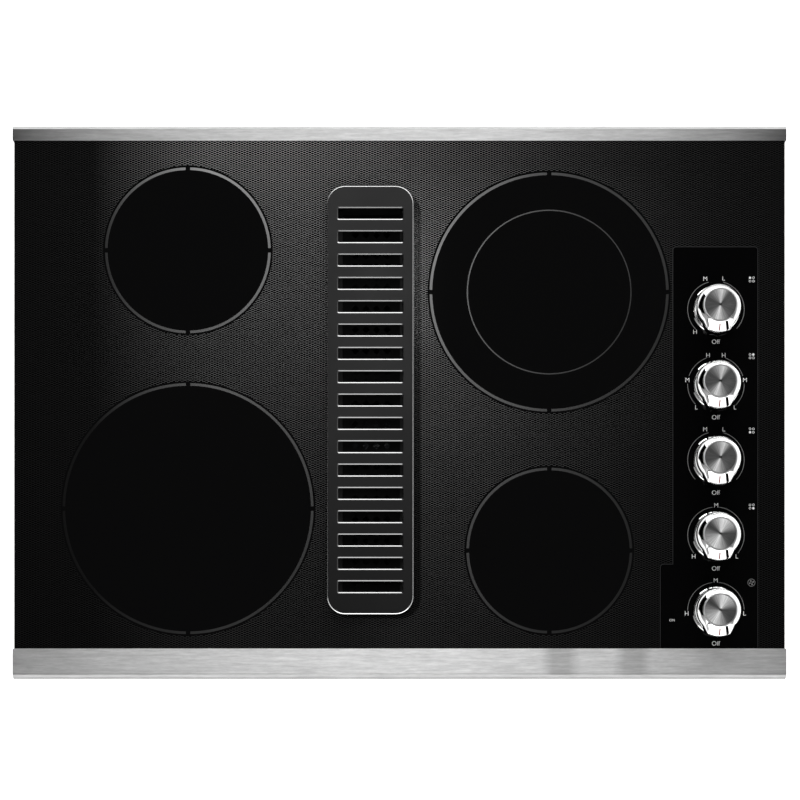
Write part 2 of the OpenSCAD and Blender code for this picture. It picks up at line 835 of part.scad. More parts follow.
module plenum() {
    rim_w = throat_w + 2 * chamber_flange;
    rim_d = throat_d + 2 * chamber_flange;
    color("lightsteelblue") difference() {
        union() {
            difference() {
                union() {
                    chamber_body(0, throat_r, 0);
                    at_vent() slab(rim_w, rim_d, throat_r, z_under - sheet_t, sheet_t);
                }
                chamber_body(sheet_t, throat_in_r, 1);
            }
            at_vent() ring_slab(throat_in_w + sheet_t, throat_in_d + sheet_t, throat_in_r,
                throat_in_w - 2 * ledge_w, throat_in_d - 2 * ledge_w, 4,
                z_filter - LEDGE_T, LEDGE_T);
        }
        translate([x_wall - sheet_t - 2, blower_y, z_blower])
            rod_x(0, sheet_t + 4, inlet_r + INLET_CLEAR);
        at_vent() translate([0, 0, -chamber_floor - 1])
            cylinder(r = jar_r - jar_t - MOUTH_LIP, h = sheet_t + 2);
        at_chamber_screws() screw_hole();
        at_cover_screws() screw_hole();
    }
}

module jar_socket() {
    r = jar_r + jar_gap;
    color("gray") at_vent() {
        tube(r + socket_t, r, z_jar_seat, socket_h);
        tube(r + socket_t, jar_r - jar_t - MOUTH_LIP, -chamber_floor - SOCKET_STOP, SOCKET_STOP);
    }
}

module overflow_jar() {
    belly = jar_r + JAR_BELLY;
    top = -chamber_floor - SOCKET_STOP - jar_gap;
    z0 = top - jar_h;
    shoulder = z_jar_seat - 1;
    color("lightcyan") at_vent() difference() {
        union() {
            translate([0, 0, z0]) cylinder(r = jar_r, h = jar_h);
            translate([0, 0, z0 + JAR_FOOT])
                cylinder(r = belly, h = shoulder - z0 - JAR_FOOT);
        }
        translate([0, 0, z0 + jar_t]) cylinder(r = jar_r - jar_t, h = jar_h);
    }
}

// Blower and motor
function scroll_points(t) = [
    for (a = [0:10:SCROLL_TURN])
        let (r = scroll_r0 + scroll_growth * a / SCROLL_TURN - t, b = TONGUE + a)
            [blower_y + r * cos(b), z_blower + r * sin(b)]
];

module scroll_outline(t, extra) {
    bottom = z_blower + outlet_bottom + t;
    top = z_blower + tongue_z - t;
    polygon(scroll_points(t));
    translate([blower_y, bottom]) square([y_outlet + extra - blower_y, top - bottom]);
}

module blower_cover() {
    color("slategray") {
        difference() {
            along_x(x_wall, scroll_t) scroll_outline(0, -scroll_t);
            translate([x_wall - 1, blower_y, z_blower]) rod_x(0, scroll_t + 2, inlet_r);
            at_cover_screws() screw_hole();
        }
        translate([x_wall, blower_y, z_blower]) rotate([0, 90, 0])
            tube(inlet_r + scroll_t, inlet_r, 0, scroll_t + inlet_lip);
    }
}

module blower_scroll() {
    rim_w = outlet_w + 2 * scroll_t + 2 * outlet_flange;
    rim_h = outlet_h + 2 * scroll_t + 2 * outlet_flange;
    color("slategray") difference() {
        union() {
            along_x(x_scroll, scroll_w) scroll_outline(0, 0);
            along_y(y_outlet - scroll_t, scroll_t) translate([x_duct, z_duct])
                square([rim_w, rim_h], center = true);
        }
        along_x(x_scroll + scroll_t, scroll_w - 2 * scroll_t) scroll_outline(scroll_t, 1);
        translate([x_scroll - 1, blower_y, z_blower]) rod_x(0, scroll_t + 2, scroll_r0 - 2);
        translate([x_back - 2 * scroll_t, blower_y, z_blower])
            rod_x(0, 3 * scroll_t, bearing_r + INLET_CLEAR * 2);
        at_motor_screws() screw_hole();
        at_outlet_screws() screw_hole();
    }
}

function polar(r, a) = r * [cos(a), sin(a)];

// A forward-curved blade, kept inside the two end rings
module blade(a) {
    r_in = wheel_r - blade_depth + BLADE_INSET;
    r_mid = wheel_r - blade_depth / 2;
    r_out = wheel_r - BLADE_INSET;
    rotate(a) polygon([
        polar(r_in, 0), polar(r_mid, 2.4), polar(r_out, 6.6), polar(r_out, 7.6),
        polar(r_mid, 3.4), polar(r_in, 1.1)
    ]);
}

module impeller() {
    hub_r = motor_shaft_r + HUB_WALL;
    color("darkgray") translate([x_wheel, blower_y, z_blower]) rotate([90, 0, 90]) {
        tube(wheel_r, wheel_r - blade_depth, 0, WHEEL_DISC_T);
        difference() {
            translate([0, 0, wheel_w - WHEEL_DISC_T]) cylinder(r = wheel_r, h = WHEEL_DISC_T);
            translate([0, 0, wheel_w - 3]) cylinder(r = motor_shaft_r + run_gap, h = 4);
        }
        tube(hub_r, motor_shaft_r + run_gap, wheel_w - HUB_L, HUB_L - WHEEL_DISC_T / 2);
        translate([0, 0, WHEEL_DISC_T / 2]) linear_extrude(wheel_w - WHEEL_DISC_T)
            for (i = [0:blade_count - 1]) blade(i * 360 / blade_count);
    }
}

module at_motor() {
    translate([x_motor, blower_y, z_blower]) rotate([90, 0, 90]) children();
}

module motor_housing() {
    color("gray") at_motor() difference() {
        union() {
            difference() {
                cylinder(r = motor_r, h = motor_l);
                translate([0, 0, BELL_T])
                    cylinder(r = motor_r - MOTOR_WALL, h = motor_l - 2 * BELL_T);
            }
            tube(motor_r - MOTOR_WALL + EPS, rotor_r + STATOR_GAP,
                (motor_l - rotor_l) / 2 - 2, rotor_l + 4);
        }
        translate([0, 0, -1]) cylinder(r = bearing_r + run_gap, h = BELL_T + 2);
        translate([0, 0, motor_l - BELL_T - 1])
            cylinder(r = bearing_r + run_gap, h = bearing_w + 1);
        for (i = [0:MOTOR_VENTS - 1]) rotate((i + 0.5) * 360 / MOTOR_VENTS)
            translate([rotor_r + 6, 0, motor_l - BELL_T - 1])
                cylinder(r = 3.5, h = BELL_T + 2);
        for (a = MOTOR_SCREWS) rotate(a)
            translate([0, motor_r - MOTOR_SCREW_IN, -1])
                cylinder(r = screw_r + screw_gap, h = screw_l + 2);
    }
}

module motor_rotor() {
    start = -(x_back - x_wheel - wheel_w + HUB_L);
    color("lightgray") at_motor() {
        translate([0, 0, start])
            cylinder(r = motor_shaft_r, h = motor_l - BELL_T + bearing_w - start);
        translate([0, 0, (motor_l - rotor_l) / 2]) cylinder(r = rotor_r, h = rotor_l);
    }
}

module motor_bearings() {
    color("silver") at_motor() {
        tube(bearing_r, motor_shaft_r + run_gap, BELL_T - bearing_w, bearing_w);
        tube(bearing_r, motor_shaft_r + run_gap, motor_l - BELL_T, bearing_w);
    }
}

// Duct outlet
module duct_collar() {
    ear_x = flap_w / 2 + EAR_GAP;
    color("silver") difference() {
        union() {
            along_y(y_outlet, scroll_t) translate([x_duct, z_duct])
                square(collar_plate, center = true);
            along_y(y_outlet, scroll_t + collar_l) translate([x_duct, z_duct]) difference() {
                circle(collar_r);
                circle(collar_r - collar_t);
            }
            for (x = [x_duct - ear_x - EAR_T, x_duct + ear_x])
                along_x(x, EAR_T) translate([collar_base - EPS, z_flap - EAR_H / 2])
                    square([FLAP_STANDOFF + 2 * flap_pin_r + 2, EAR_H]);
        }
        along_y(y_outlet - 1, scroll_t + 2) translate([x_duct, z_duct])
            square([outlet_w, outlet_h], center = true);
        translate([x_duct - ear_x - EAR_T - 1, y_flap, z_flap])
            rod_x(0, 2 * (ear_x + EAR_T + 1), flap_pin_r + shaft_gap);
        at_outlet_screws() screw_hole();
    }
}

module damper_flap() {
    pin_l = flap_w + 2 * EAR_GAP + 2 * EAR_T;
    color("gainsboro") {
        along_y(y_flap - flap_t / 2, flap_t)
            translate([x_duct - flap_w / 2, z_flap - flap_h]) square([flap_w, flap_h]);
        translate([x_duct - pin_l / 2, y_flap, z_flap]) rod_x(0, pin_l, flap_pin_r);
    }
}

// Heating elements
module pan(zone) {
    r = zone[2] + pan_margin;
    at_zone(zone) difference() {
        translate([0, 0, z_pan]) cylinder(r = r, h = pan_h);
        translate([0, 0, z_pan + pan_t]) cylinder(r = r - pan_t, h = pan_h);
        translate([r - 4, 0, z_rod]) rod_x(0, 8, rod_r + rod_gap);
    }
}

module element_pan_small() {
    color("silver") {
        pan(REAR_LEFT);
        pan(FRONT_RIGHT);
    }
}

module element_pan_large() {
    color("silver") pan(FRONT_LEFT);
}

module element_pan_dual() {
    color("silver") pan(REAR_RIGHT);
}

function bed_r(zone) = zone[2] + pan_margin - pan_t - bed_gap;

module bed(zone) {
    r = bed_r(zone);
    at_zone(zone) difference() {
        translate([0, 0, z_pan + pan_t]) cylinder(r = r, h = z_glass - z_pan - pan_t);
        translate([0, 0, z_bed]) cylinder(r = r - ring_wall, h = pan_h);
        translate([r - ring_wall - 2, 0, z_rod]) rod_x(0, ring_wall + 4, rod_r + rod_gap);
    }
}

module element_insulation() {
    color("antiquewhite") {
        for (zone = ZONES) bed(zone);
        at_zone(REAR_RIGHT)
            tube(dual_inner_r + DIVIDER_T / 2, dual_inner_r - DIVIDER_T / 2, z_bed - EPS,
                ribbon_h + 2);
    }
}

// One ribbon laid in rings that turn back on themselves beside the gap
module serpentine(r_first, r_last) {
    half = ribbon_turn / 2;
    turns = floor((r_last - r_first) / ribbon_pitch);
    mid = half + ribbon_t / 2;
    function link_x(i) = sqrt(pow(r_first + i * ribbon_pitch, 2) - mid * mid);
    translate([0, 0, z_bed]) linear_extrude(ribbon_h) {
        difference() {
            for (i = [0:turns])
                let (r = r_first + i * ribbon_pitch)
                    difference() {
                        circle(r + ribbon_t / 2);
                        circle(r - ribbon_t / 2);
                    }
            translate([0, -half]) square([r_last + ribbon_pitch, ribbon_turn]);
        }
        for (i = [0:turns - 1])
            translate([link_x(i), i % 2 == 0 ? half : -half - ribbon_t])
                square([link_x(i + 1) - link_x(i), ribbon_t]);
    }
}

module heater(zone, r_first, r_last) {
    at_zone([zone[0], zone[1], 0, zone[3] + 180]) serpentine(r_first, r_last);
}

function ribbon_end(zone) = bed_r(zone) - ring_wall - RIBBON_CLEAR;

module heater_small() {
    color("orangered") for (zone = [REAR_LEFT, FRONT_RIGHT])
        heater(zone, ribbon_start, ribbon_end(zone));
}

module heater_large() {
    color("orangered") heater(FRONT_LEFT, ribbon_start, ribbon_end(FRONT_LEFT));
}

module heater_dual() {
    color("orangered") {
        beside = DIVIDER_T / 2 + RIBBON_CLEAR + 1;
        heater(REAR_RIGHT, ribbon_start, dual_inner_r - beside);
        heater(REAR_RIGHT, dual_inner_r + beside, ribbon_end(REAR_RIGHT));
    }
}

module limiter_rods() {
    color("white") for (zone = ZONES)
        let (r = zone[2] + pan_margin)
            at_zone(zone) {
                translate([-ROD_PAST, 0, z_rod]) rod_x(0, r + ROD_PAST + ROD_END, rod_r);
                translate([r + LIMITER_GAP, -limiter_w / 2, z_rod + LIMITER_RISE - limiter_h])
                    cube([limiter_l, limiter_w, limiter_h]);
            }
}

RAIL_X = [(REAR_LEFT[0] + FRONT_LEFT[0]) / 2, (REAR_RIGHT[0] + FRONT_RIGHT[0]) / 2];

module element_rails() {
    length = box_d - 2 * sheet_t - 2 * rail_end_gap;
    h = z_rail - z_floor;
    half = rail_w / 2;
    color("silver") for (x = RAIL_X)
        along_y(-length / 2, length) translate([x, z_floor]) polygon([
            [-half - rail_foot, 0], [-half + sheet_t, 0], [-half + sheet_t, h - sheet_t],
            [half - sheet_t, h - sheet_t], [half - sheet_t, 0], [half + rail_foot, 0],
            [half + rail_foot, sheet_t], [half, sheet_t], [half, h], [-half, h],
            [-half, sheet_t], [-half - rail_foot, sheet_t]
        ]);
}

// A leaf spring's side outline: two feet and a raised flat
module leaf_outline() {
    t = spring_t;
    h = spring_h;
    wide = t * 0.7;
    polygon([
        [-LEAF_END, 0], [-LEAF_BEND, 0], [-LEAF_TOP, h - t], [LEAF_TOP, h - t], [LEAF_BEND, 0],
        [LEAF_END, 0], [LEAF_END, t], [LEAF_BEND + wide, t], [LEAF_TOP + wide, h],
        [-LEAF_TOP - wide, h], [-LEAF_BEND - wide, t], [-LEAF_END, t]
    ]);
}

module element_springs() {
    color("steelblue") for (i = [0:3])
        let (zone = ZONES[i], x = i < 2 ? RAIL_X[0] : RAIL_X[1])
            for (side = [-LEAF_PLACE, LEAF_PLACE])
                translate([0, zone[1] + side * zone[2], z_rail])
                    along_x(x - spring_w / 2, spring_w) leaf_outline();
}

// Controls
function bracket_front() = knob_y - (KNOBS - 1) * knob_pitch - bracket_over;
function bracket_rear() = knob_y + bracket_over;

module control_bracket() {
    length = bracket_rear() - bracket_front();
    half = bracket_w / 2;
    h = z_bracket - z_floor;
    lamp_room = lamp_r + 3;
    tab_x = lamp_x - lamp_room;
    tab_y = lamp_front_y - lamp_room;
    color("gray") difference() {
        union() {
            along_y(bracket_front(), length) translate([knob_x, z_floor]) polygon([
                [-half, 0], [-half + BRACKET_FOOT, 0], [-half + BRACKET_FOOT, bracket_t],
                [-half + bracket_t, bracket_t], [-half + bracket_t, h - bracket_t],
                [half - bracket_t, h - bracket_t], [half - bracket_t, bracket_t],
                [half - BRACKET_FOOT, bracket_t], [half - BRACKET_FOOT, 0],
                [half, 0], [half, h], [-half, h]
            ]);
            translate([tab_x, tab_y, z_switch])
                cube([knob_x - half + EPS - tab_x, lamp_rear_y - lamp_front_y + 2 * lamp_room,
                    bracket_t]);
        }
        for (i = [1:KNOBS])
            at_knob(i) translate([0, 0, z_switch - 1])
                cylinder(r = nose_r + screw_gap, h = bracket_t + 2);
    }
}

module switch_body(h) {
    foot = z_switch - h + SHAFT_FOOT;
    difference() {
        union() {
            translate([-switch_w / 2, -switch_l / 2, z_switch - h])
                cube([switch_w, switch_l, h]);
            translate([0, 0, z_switch - EPS]) cylinder(r = nose_r, h = nose_h + EPS);
            for (i = [-1.5:1.5])
                translate([i * BLADE_PITCH - BLADE_W / 2, -BLADE_T / 2, z_switch - h - BLADE_H])
                    cube([BLADE_W, BLADE_T, BLADE_H + EPS]);
        }
        translate([0, 0, z_switch]) cylinder(r = nose_r - nose_wall, h = nose_h + 1);
        translate([0, 0, foot]) cylinder(r = shaft_r + shaft_gap, h = h);
    }
}

module heat_switches() {
    color("ivory") for (i = [1:HEAT_KNOBS])
        at_knob(i) switch_body(i == 2 ? dual_switch_h : switch_h);
}

module fan_switch() {
    color("ivory") at_knob(KNOBS) switch_body(switch_h);
}

module spring_seat(i) {
    color("steelblue") at_knob(i) tube(nose_r - nose_wall - seat_gap, shaft_r + shaft_gap,
        z_switch + SEAT_REST, seat_t);
}

// A round shaft with one flat
module d_section(r, flat) {
    difference() {
        circle(r);
        translate([-r - 1, flat]) square([2 * r + 2, r]);
    }
}

module shaft(i) {
    foot = z_switch - switch_h + SHAFT_FOOT + push_travel + 1;
    top = z_top + knob_top - knob_wall - cap_t - SHAFT_SHORT;
    color("silver") at_knob(i) {
        translate([0, 0, foot]) cylinder(r = shaft_r, h = z_knob - 1 - foot);
        translate([0, 0, z_knob - 1 - EPS])
            linear_extrude(top - z_knob + 1) d_section(shaft_r, shaft_flat);
    }
}

// Plan outline of the knob: a disc drawn out to a blunt pointer at the front
module knob_outline(r, reach) {
    intersection() {
        union() {
            circle(r);
            polygon([
                [-r * 0.97, -r * 0.24], [r * 0.97, -r * 0.24],
                [pointer_w / 2, -reach], [-pointer_w / 2, -reach]
            ]);
        }
        circle(reach);
    }
}

module knob(i) {
    inner_top = knob_h - knob_wall - cap_t;
    color("gainsboro") at_knob(i) translate([0, 0, z_knob]) difference() {
        union() {
            linear_extrude(knob_skirt_h) knob_outline(knob_r, pointer_r);
            translate([0, 0, knob_skirt_h - EPS])
                cylinder(r1 = knob_r - TAB_INSET, r2 = knob_top_r, h = knob_shoulder_h + EPS);
            translate([0, 0, 1]) cylinder(r = knob_top_r, h = knob_h - 1);
            translate([0, 0, 1]) linear_extrude(knob_h - 1 - TAB_DROP) intersection() {
                circle(pointer_r - TAB_INSET);
                translate([-pointer_w / 2 + TAB_INSET, -pointer_r])
                    square([pointer_w - 2 * TAB_INSET, pointer_r]);
            }
        }
        difference() {
            translate([0, 0, -1]) cylinder(r = knob_top_r - knob_wall, h = inner_top + 1);
            translate([0, 0, -2]) cylinder(r = HUB_R, h = knob_h);
        }
        translate([0, 0, -1]) linear_extrude(inner_top + 1)
            d_section(shaft_r + shaft_gap, shaft_flat + shaft_gap);
        translate([0, 0, knob_h - cap_t]) cylinder(r = cap_r + CAP_FIT, h = cap_t + 1);
    }
}

module knob_cap(i) {
    color("silver") at_knob(i) translate([0, 0, z_knob + knob_h - cap_t])
        cylinder(r = cap_r, h = cap_t);
}

module knob_bezels() {
    z_step = z_top + bezel_h / 2;
    color("silver") for (i = [1:KNOBS])
        at_knob(i) rotate_extrude() polygon([
            [BEZEL_HOLE, z_top], [bezel_r, z_top], [bezel_r, z_step], [bezel_r - 1, z_bezel],
            [bezel_r - 3, z_bezel], [bezel_r - 4, z_step], [BEZEL_HOLE, z_step]
        ]);
}

module indicator_lamps() {
    color("orange") for (y = [lamp_rear_y, lamp_front_y])
        translate([lamp_x, y, z_bracket]) cylinder(r = lamp_r, h = bracket_drop);
}

// Wiring entry
module terminal_block() {
    y0 = junction_y - junction_hole / 2 - TERMINAL_GAP - terminal_d;
    color("ivory") translate([junction_x - terminal_l / 2, y0, z_floor]) difference() {
        cube([terminal_l, terminal_d, terminal_h]);
        for (i = [0:POLES - 1])
            translate([terminal_l * (i + 0.5) / POLES - 5, -1, terminal_h * 0.55])
                cube([10, terminal_d + 2, terminal_h]);
    }
}

module junction_cover() {
    color("gray") difference() {
        translate([junction_x, junction_y, 0])
            slab(junction_w, junction_w, 4, z_under - junction_t, junction_t);
        translate([junction_x, junction_y, z_under - junction_t - 1])
            cylinder(r = conduit_r, h = junction_t + 2);
        at_junction_screws() screw_hole();
    }
}

// Clamps that draw the cooktop down onto the countertop
module clamp_brackets() {
    z0 = -clamp_depth;
    arm = clamp_x + NUT_R + 3 - box_w / 2;
    color("silver") for (side = [-1, 1]) difference() {
        union() {
            translate([side * (box_w / 2 + clamp_t / 2) - clamp_t / 2, -clamp_w / 2, z0])
                cube([clamp_t, clamp_w, clamp_h]);
            translate([side * (box_w / 2 + arm / 2) - arm / 2, -clamp_w / 2, z0])
                cube([arm, clamp_w, clamp_t]);
            translate([side * clamp_x, 0, z0 + clamp_t - EPS])
                cylinder(r = NUT_R, h = NUT_T + EPS, $fn = 6);
        }
        translate([side * clamp_x, 0, z0 - 1])
            cylinder(r = clamp_screw_r + shaft_gap, h = clamp_t + NUT_T + 2);
        at_clamp_screws(side) screw_hole();
    }
}

module clamp_screw(side) {
    top = -clamp_pad_depth;
    foot = -clamp_head_depth;
    color("silver") translate([side * clamp_x, 0, 0]) {
        translate([0, 0, foot]) cylinder(r = clamp_screw_r * 1.9, h = CLAMP_HEAD_H, $fn = 6);
        translate([0, 0, foot + CLAMP_HEAD_H - EPS])
            cylinder(r = clamp_screw_r, h = top - foot - CLAMP_HEAD_H - CLAMP_PAD_T + 2 * EPS);
        translate([0, 0, top - CLAMP_PAD_T]) cylinder(r = CLAMP_PAD_R, h = CLAMP_PAD_T);
    }
}

module screws() {
    color("silver") {
        at_chamber_screws() screw_body();
        at_junction_screws() screw_body();
        at_clamp_screws(-1) screw_body();
        at_clamp_screws(1) screw_body();
        at_cover_screws() screw_body();
        at_motor_screws() screw_body();
        at_outlet_screws() screw_body();
    }
}

glass_top();
front_trim();
rear_trim();
countertop_seal();
glass_seal();
burner_box();
control_bracket();
knob_bezels();
indicator_lamps();
terminal_block();
junction_cover();
clamp_brackets();
clamp_screw(-1);  // clamp_screw_left
clamp_screw(1);  // clamp_screw_right
element_rails();
element_springs();
element_pan_small();
element_pan_large();
element_pan_dual();
element_insulation();
heater_small();
heater_large();
heater_dual();
limiter_rods();
heat_switches();
fan_switch();
vent_grille();
filter_frame();
filter_mesh();
plenum();
jar_socket();
overflow_jar();
blower_scroll();
blower_cover();
impeller();
motor_housing();
motor_rotor();
motor_bearings();
duct_collar();
damper_flap();
screws();
for (i = [1:KNOBS]) {
    knob(i);
    knob_cap(i);
    shaft(i);
}
for (i = [1:HEAT_KNOBS])
    spring_seat(i);
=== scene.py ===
import math

import bmesh
import bpy
from mathutils import Matrix, Vector


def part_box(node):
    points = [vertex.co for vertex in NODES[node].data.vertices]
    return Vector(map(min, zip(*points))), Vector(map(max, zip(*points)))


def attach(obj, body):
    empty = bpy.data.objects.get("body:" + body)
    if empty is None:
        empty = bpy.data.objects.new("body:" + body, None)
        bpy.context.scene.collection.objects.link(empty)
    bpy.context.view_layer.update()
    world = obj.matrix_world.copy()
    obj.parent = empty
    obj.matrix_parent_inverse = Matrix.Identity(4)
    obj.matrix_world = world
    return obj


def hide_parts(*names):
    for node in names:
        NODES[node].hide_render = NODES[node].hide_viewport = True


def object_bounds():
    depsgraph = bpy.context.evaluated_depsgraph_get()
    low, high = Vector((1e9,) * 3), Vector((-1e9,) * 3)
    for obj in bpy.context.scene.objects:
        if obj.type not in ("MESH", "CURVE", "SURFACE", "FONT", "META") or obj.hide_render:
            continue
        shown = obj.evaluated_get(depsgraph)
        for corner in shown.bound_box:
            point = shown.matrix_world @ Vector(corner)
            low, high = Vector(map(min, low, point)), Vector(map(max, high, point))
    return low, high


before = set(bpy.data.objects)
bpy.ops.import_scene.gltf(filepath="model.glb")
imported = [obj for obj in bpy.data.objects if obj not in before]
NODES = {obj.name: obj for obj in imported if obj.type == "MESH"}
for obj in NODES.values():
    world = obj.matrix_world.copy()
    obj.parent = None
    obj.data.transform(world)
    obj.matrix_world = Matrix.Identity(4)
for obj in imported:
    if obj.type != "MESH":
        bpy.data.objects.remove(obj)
CAD_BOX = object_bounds()

MM = 0.001
SCENE = bpy.context.scene
BLACK, WHITE = (0.0, 0.0, 0.0), (1.0, 1.0, 1.0)

# Places and levels, read from the frame
GLASS_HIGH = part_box("glass_top")[1]
GLASS_Z = GLASS_HIGH.z
GRILLE_LOW, GRILLE_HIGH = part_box("vent_grille")
GRILLE_AT = (GRILLE_LOW + GRILLE_HIGH) / 2
TRIM_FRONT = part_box("front_trim")
KNOB_BOXES = [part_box(f"knob_{i}") for i in range(1, 6)]
CAP_BOXES = [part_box(f"knob_cap_{i}") for i in range(1, 6)]
KNOB_AT = [(low + high) / 2 for low, high in CAP_BOXES]
PAN_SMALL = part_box("element_pan_small")
PAN_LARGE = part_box("element_pan_large")
PAN_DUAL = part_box("element_pan_dual")

# Heating zones: centre and radius of the printed ring. Each pan is a little wider than its ring.
SMALL_R = 82.6 * MM
LARGE_R = 125.7 * MM
DUAL_R = 119.7 * MM
INNER_R = 82.8 * MM
PAN_MARGIN = 7.4 * MM
SMALL_PAN = SMALL_R + PAN_MARGIN
REAR_LEFT = (PAN_SMALL[0].x + SMALL_PAN, PAN_SMALL[1].y - SMALL_PAN, SMALL_R)
FRONT_RIGHT = (PAN_SMALL[1].x - SMALL_PAN, PAN_SMALL[0].y + SMALL_PAN, SMALL_R)
FRONT_LEFT = (*((PAN_LARGE[0] + PAN_LARGE[1]) / 2).xy, LARGE_R)
REAR_RIGHT = (*((PAN_DUAL[0] + PAN_DUAL[1]) / 2).xy, DUAL_R)


# Camera: it looks straight down, and stands in front of the picture's centre by its shift, so the glass
# keeps its square outline and the knobs still show their front sides
CAMERA_HEIGHT = 1.93
FRAME_WIDTH = 0.8098
FRAME_CENTRE = (0.00051, 0.00253)
SENSOR = 36.0
CAMERA_SHIFT = 0.33
CLIP = (0.05, 50)


def make_camera():
    data = bpy.data.cameras.new("camera")
    data.sensor_width = SENSOR
    data.lens = SENSOR * CAMERA_HEIGHT / FRAME_WIDTH
    data.shift_y = CAMERA_SHIFT
    data.clip_start, data.clip_end = CLIP
    camera = bpy.data.objects.new("camera", data)
    SCENE.collection.objects.link(camera)
    x, y = FRAME_CENTRE
    camera.location = (x, y - CAMERA_SHIFT * FRAME_WIDTH, GLASS_Z + CAMERA_HEIGHT)
    SCENE.camera = camera


# Materials
class Nodes:
    """A tree of shading nodes, built one by one. Each value is another node's output or a constant."""

    def __init__(self, tree):
        self.nodes, self.links = tree.nodes, tree.links

    def feed(self, socket, value):
        if isinstance(value, bpy.types.NodeSocket):
            self.links.new(value, socket)
        else:
            socket.default_value = value

    def made(self, kind, **inputs):
        """A new node of a kind, with the inputs that are named."""
        node = self.nodes.new(kind)
        for name, value in inputs.items():
            self.feed(node.inputs[name.replace("_", " ")], value)
        return node

    def math(self, operation, a, b=0.0, c=0.0):
        node = self.made("ShaderNodeMath")
        node.operation = operation
        for socket, value in zip(node.inputs, (a, b, c)):
            self.feed(socket, value)
        return node.outputs["Value"]

    def vector(self, operation, a, b=(0, 0, 0)):
        node = self.made("ShaderNodeVectorMath")
        node.operation = operation
        for socket, value in zip(node.inputs, (a, b)):
            self.feed(socket, value)
        return node.outputs["Value" if operation == "LENGTH" else "Vector"]

    def parts(self, vector):
        node = self.made("ShaderNodeSeparateXYZ", Vector=vector)
        return node.outputs["X"], node.outputs["Y"], node.outputs["Z"]

    def pair(self, x, y):
        """A vector from its first two parts."""
        return self.made("ShaderNodeCombineXYZ", X=x, Y=y).outputs["Vector"]

    def noise(self, place, scale=1.0, detail=3.0, rough=0.5):
        node = self.made("ShaderNodeTexNoise", Vector=place, Scale=scale, Detail=detail, Roughness=rough)
        return node.outputs["Fac"]

    def cells(self, place, scale):
        """A random grey for each cell of a broken pattern."""
        node = self.made("ShaderNodeTexVoronoi", Vector=place, Scale=scale)
        return self.parts(node.outputs["Color"])[0]

    def span(self, value, low, high, to_low=0.0, to_high=1.0):
        """A value's place between two others, clamped, and mapped to a new range."""
        ends = {"From_Min": low, "From_Max": high, "To_Min": to_low, "To_Max": to_high}
        return self.made("ShaderNodeMapRange", Value=value, **ends).outputs["Result"]

    def mix(self, factor, a, b):
        """Two colours mixed."""
        node = self.made("ShaderNodeMix")
        node.data_type = "RGBA"
        for socket, value in (("Factor", factor), ("A", a), ("B", b)):
            self.feed(node.inputs[socket], value)
        return node.outputs["Result"]

    def colours(self, value, dark, light):
        return self.mix(value, (*dark, 1), (*light, 1))


class Shading(Nodes):
    """One procedural material."""

    def __init__(self, name):
        self.material = bpy.data.materials.new(name)
        self.material.use_nodes = True
        super().__init__(self.material.node_tree)
        self.shader = self.nodes["Principled BSDF"]

    def put(self, socket, value):
        self.feed(self.shader.inputs[socket], (*value, 1) if isinstance(value, tuple) else value)

    def put_grey(self, value):
        """The base colour from black at 0 to white at 1."""
        self.put("Base Color", self.colours(value, BLACK, WHITE))

    def put_cloudy(self, value, colour, contrast):
        """The base colour, darker and lighter by a contrast as a value goes from 0 to 1."""
        dark, light = (tuple(min(1.0, c * factor) for c in colour) for factor in (1 - contrast, 1 + contrast))
        self.put("Base Color", self.colours(value, dark, light))

    def place(self, scale=(1, 1, 1), move=(0, 0, 0)):
        """Object coordinates, in metres, scaled and moved."""
        place = self.made("ShaderNodeTexCoord").outputs["Object"]
        return self.made("ShaderNodeMapping", Vector=place, Scale=scale, Location=move).outputs["Vector"]

    def bump(self, height, distance, strength=1.0):
        node = self.made("ShaderNodeBump", Height=height, Strength=strength, Distance=distance)
        self.put("Normal", node.outputs["Normal"])


# Noise stays between these values nearly everywhere
NOISE = (0.3, 0.7)


def brushed(name, colour, along, rough=0.3, contrast=0.12):
    """Brushed or rolled metal, with its grain drawn out along one axis."""
    m = Shading(name)
    fine, drawn = 900, 14
    stretch = [drawn if axis == along else fine for axis in "xyz"]
    grain = m.noise(m.place(stretch), 1.0, 5.0, 0.65)
    broad = m.noise(m.place((6, 6, 6)), 1.0, 2.0)
    mixed = m.math("MULTIPLY_ADD", broad, 0.35, m.math("MULTIPLY", grain, 0.65))
    m.put_cloudy(m.span(mixed, *NOISE), colour, contrast)
    m.put("Metallic", 1.0)
    m.put("Roughness", m.span(grain, *NOISE, rough * 0.8, rough * 1.2))
    m.bump(grain, 0.01 * MM)
    return m.material


def sheet_metal(name, colour, rough=0.42, spangle=70.0, contrast=0.16):
    """Zinc coated sheet with its frost-like flakes."""
    m = Shading(name)
    shade = m.cells(m.place(), spangle)
    smear = m.noise(m.place((3, 3, 3)), 4.0, 4.0)
    mixed = m.math("MULTIPLY_ADD", shade, 0.6, m.math("MULTIPLY", smear, 0.4))
    m.put_cloudy(mixed, colour, contrast)
    m.put("Metallic", 0.9)
    m.put("Roughness", m.span(shade, 0.0, 1.0, rough * 0.8, rough * 1.25))
    m.bump(smear, 0.05 * MM, 0.4)
    return m.material


def painted(name, colour, rough=0.4, grain=1400.0, bump=0.02 * MM, contrast=0.1, gloss=0.5):
    """Powder coat, enamel or moulded plastic with a fine peel."""
    m = Shading(name)
    peel = m.noise(m.place(), grain, 3.0)
    cloud = m.noise(m.place(), 9.0, 3.0)
    m.put_cloudy(m.span(cloud, *NOISE), colour, contrast)
    m.put("Metallic", 0.0)
    m.put("Specular IOR Level", gloss)
    m.put("Roughness", m.span(cloud, *NOISE, rough * 0.88, rough * 1.12))
    m.bump(peel, bump)
    return m.material


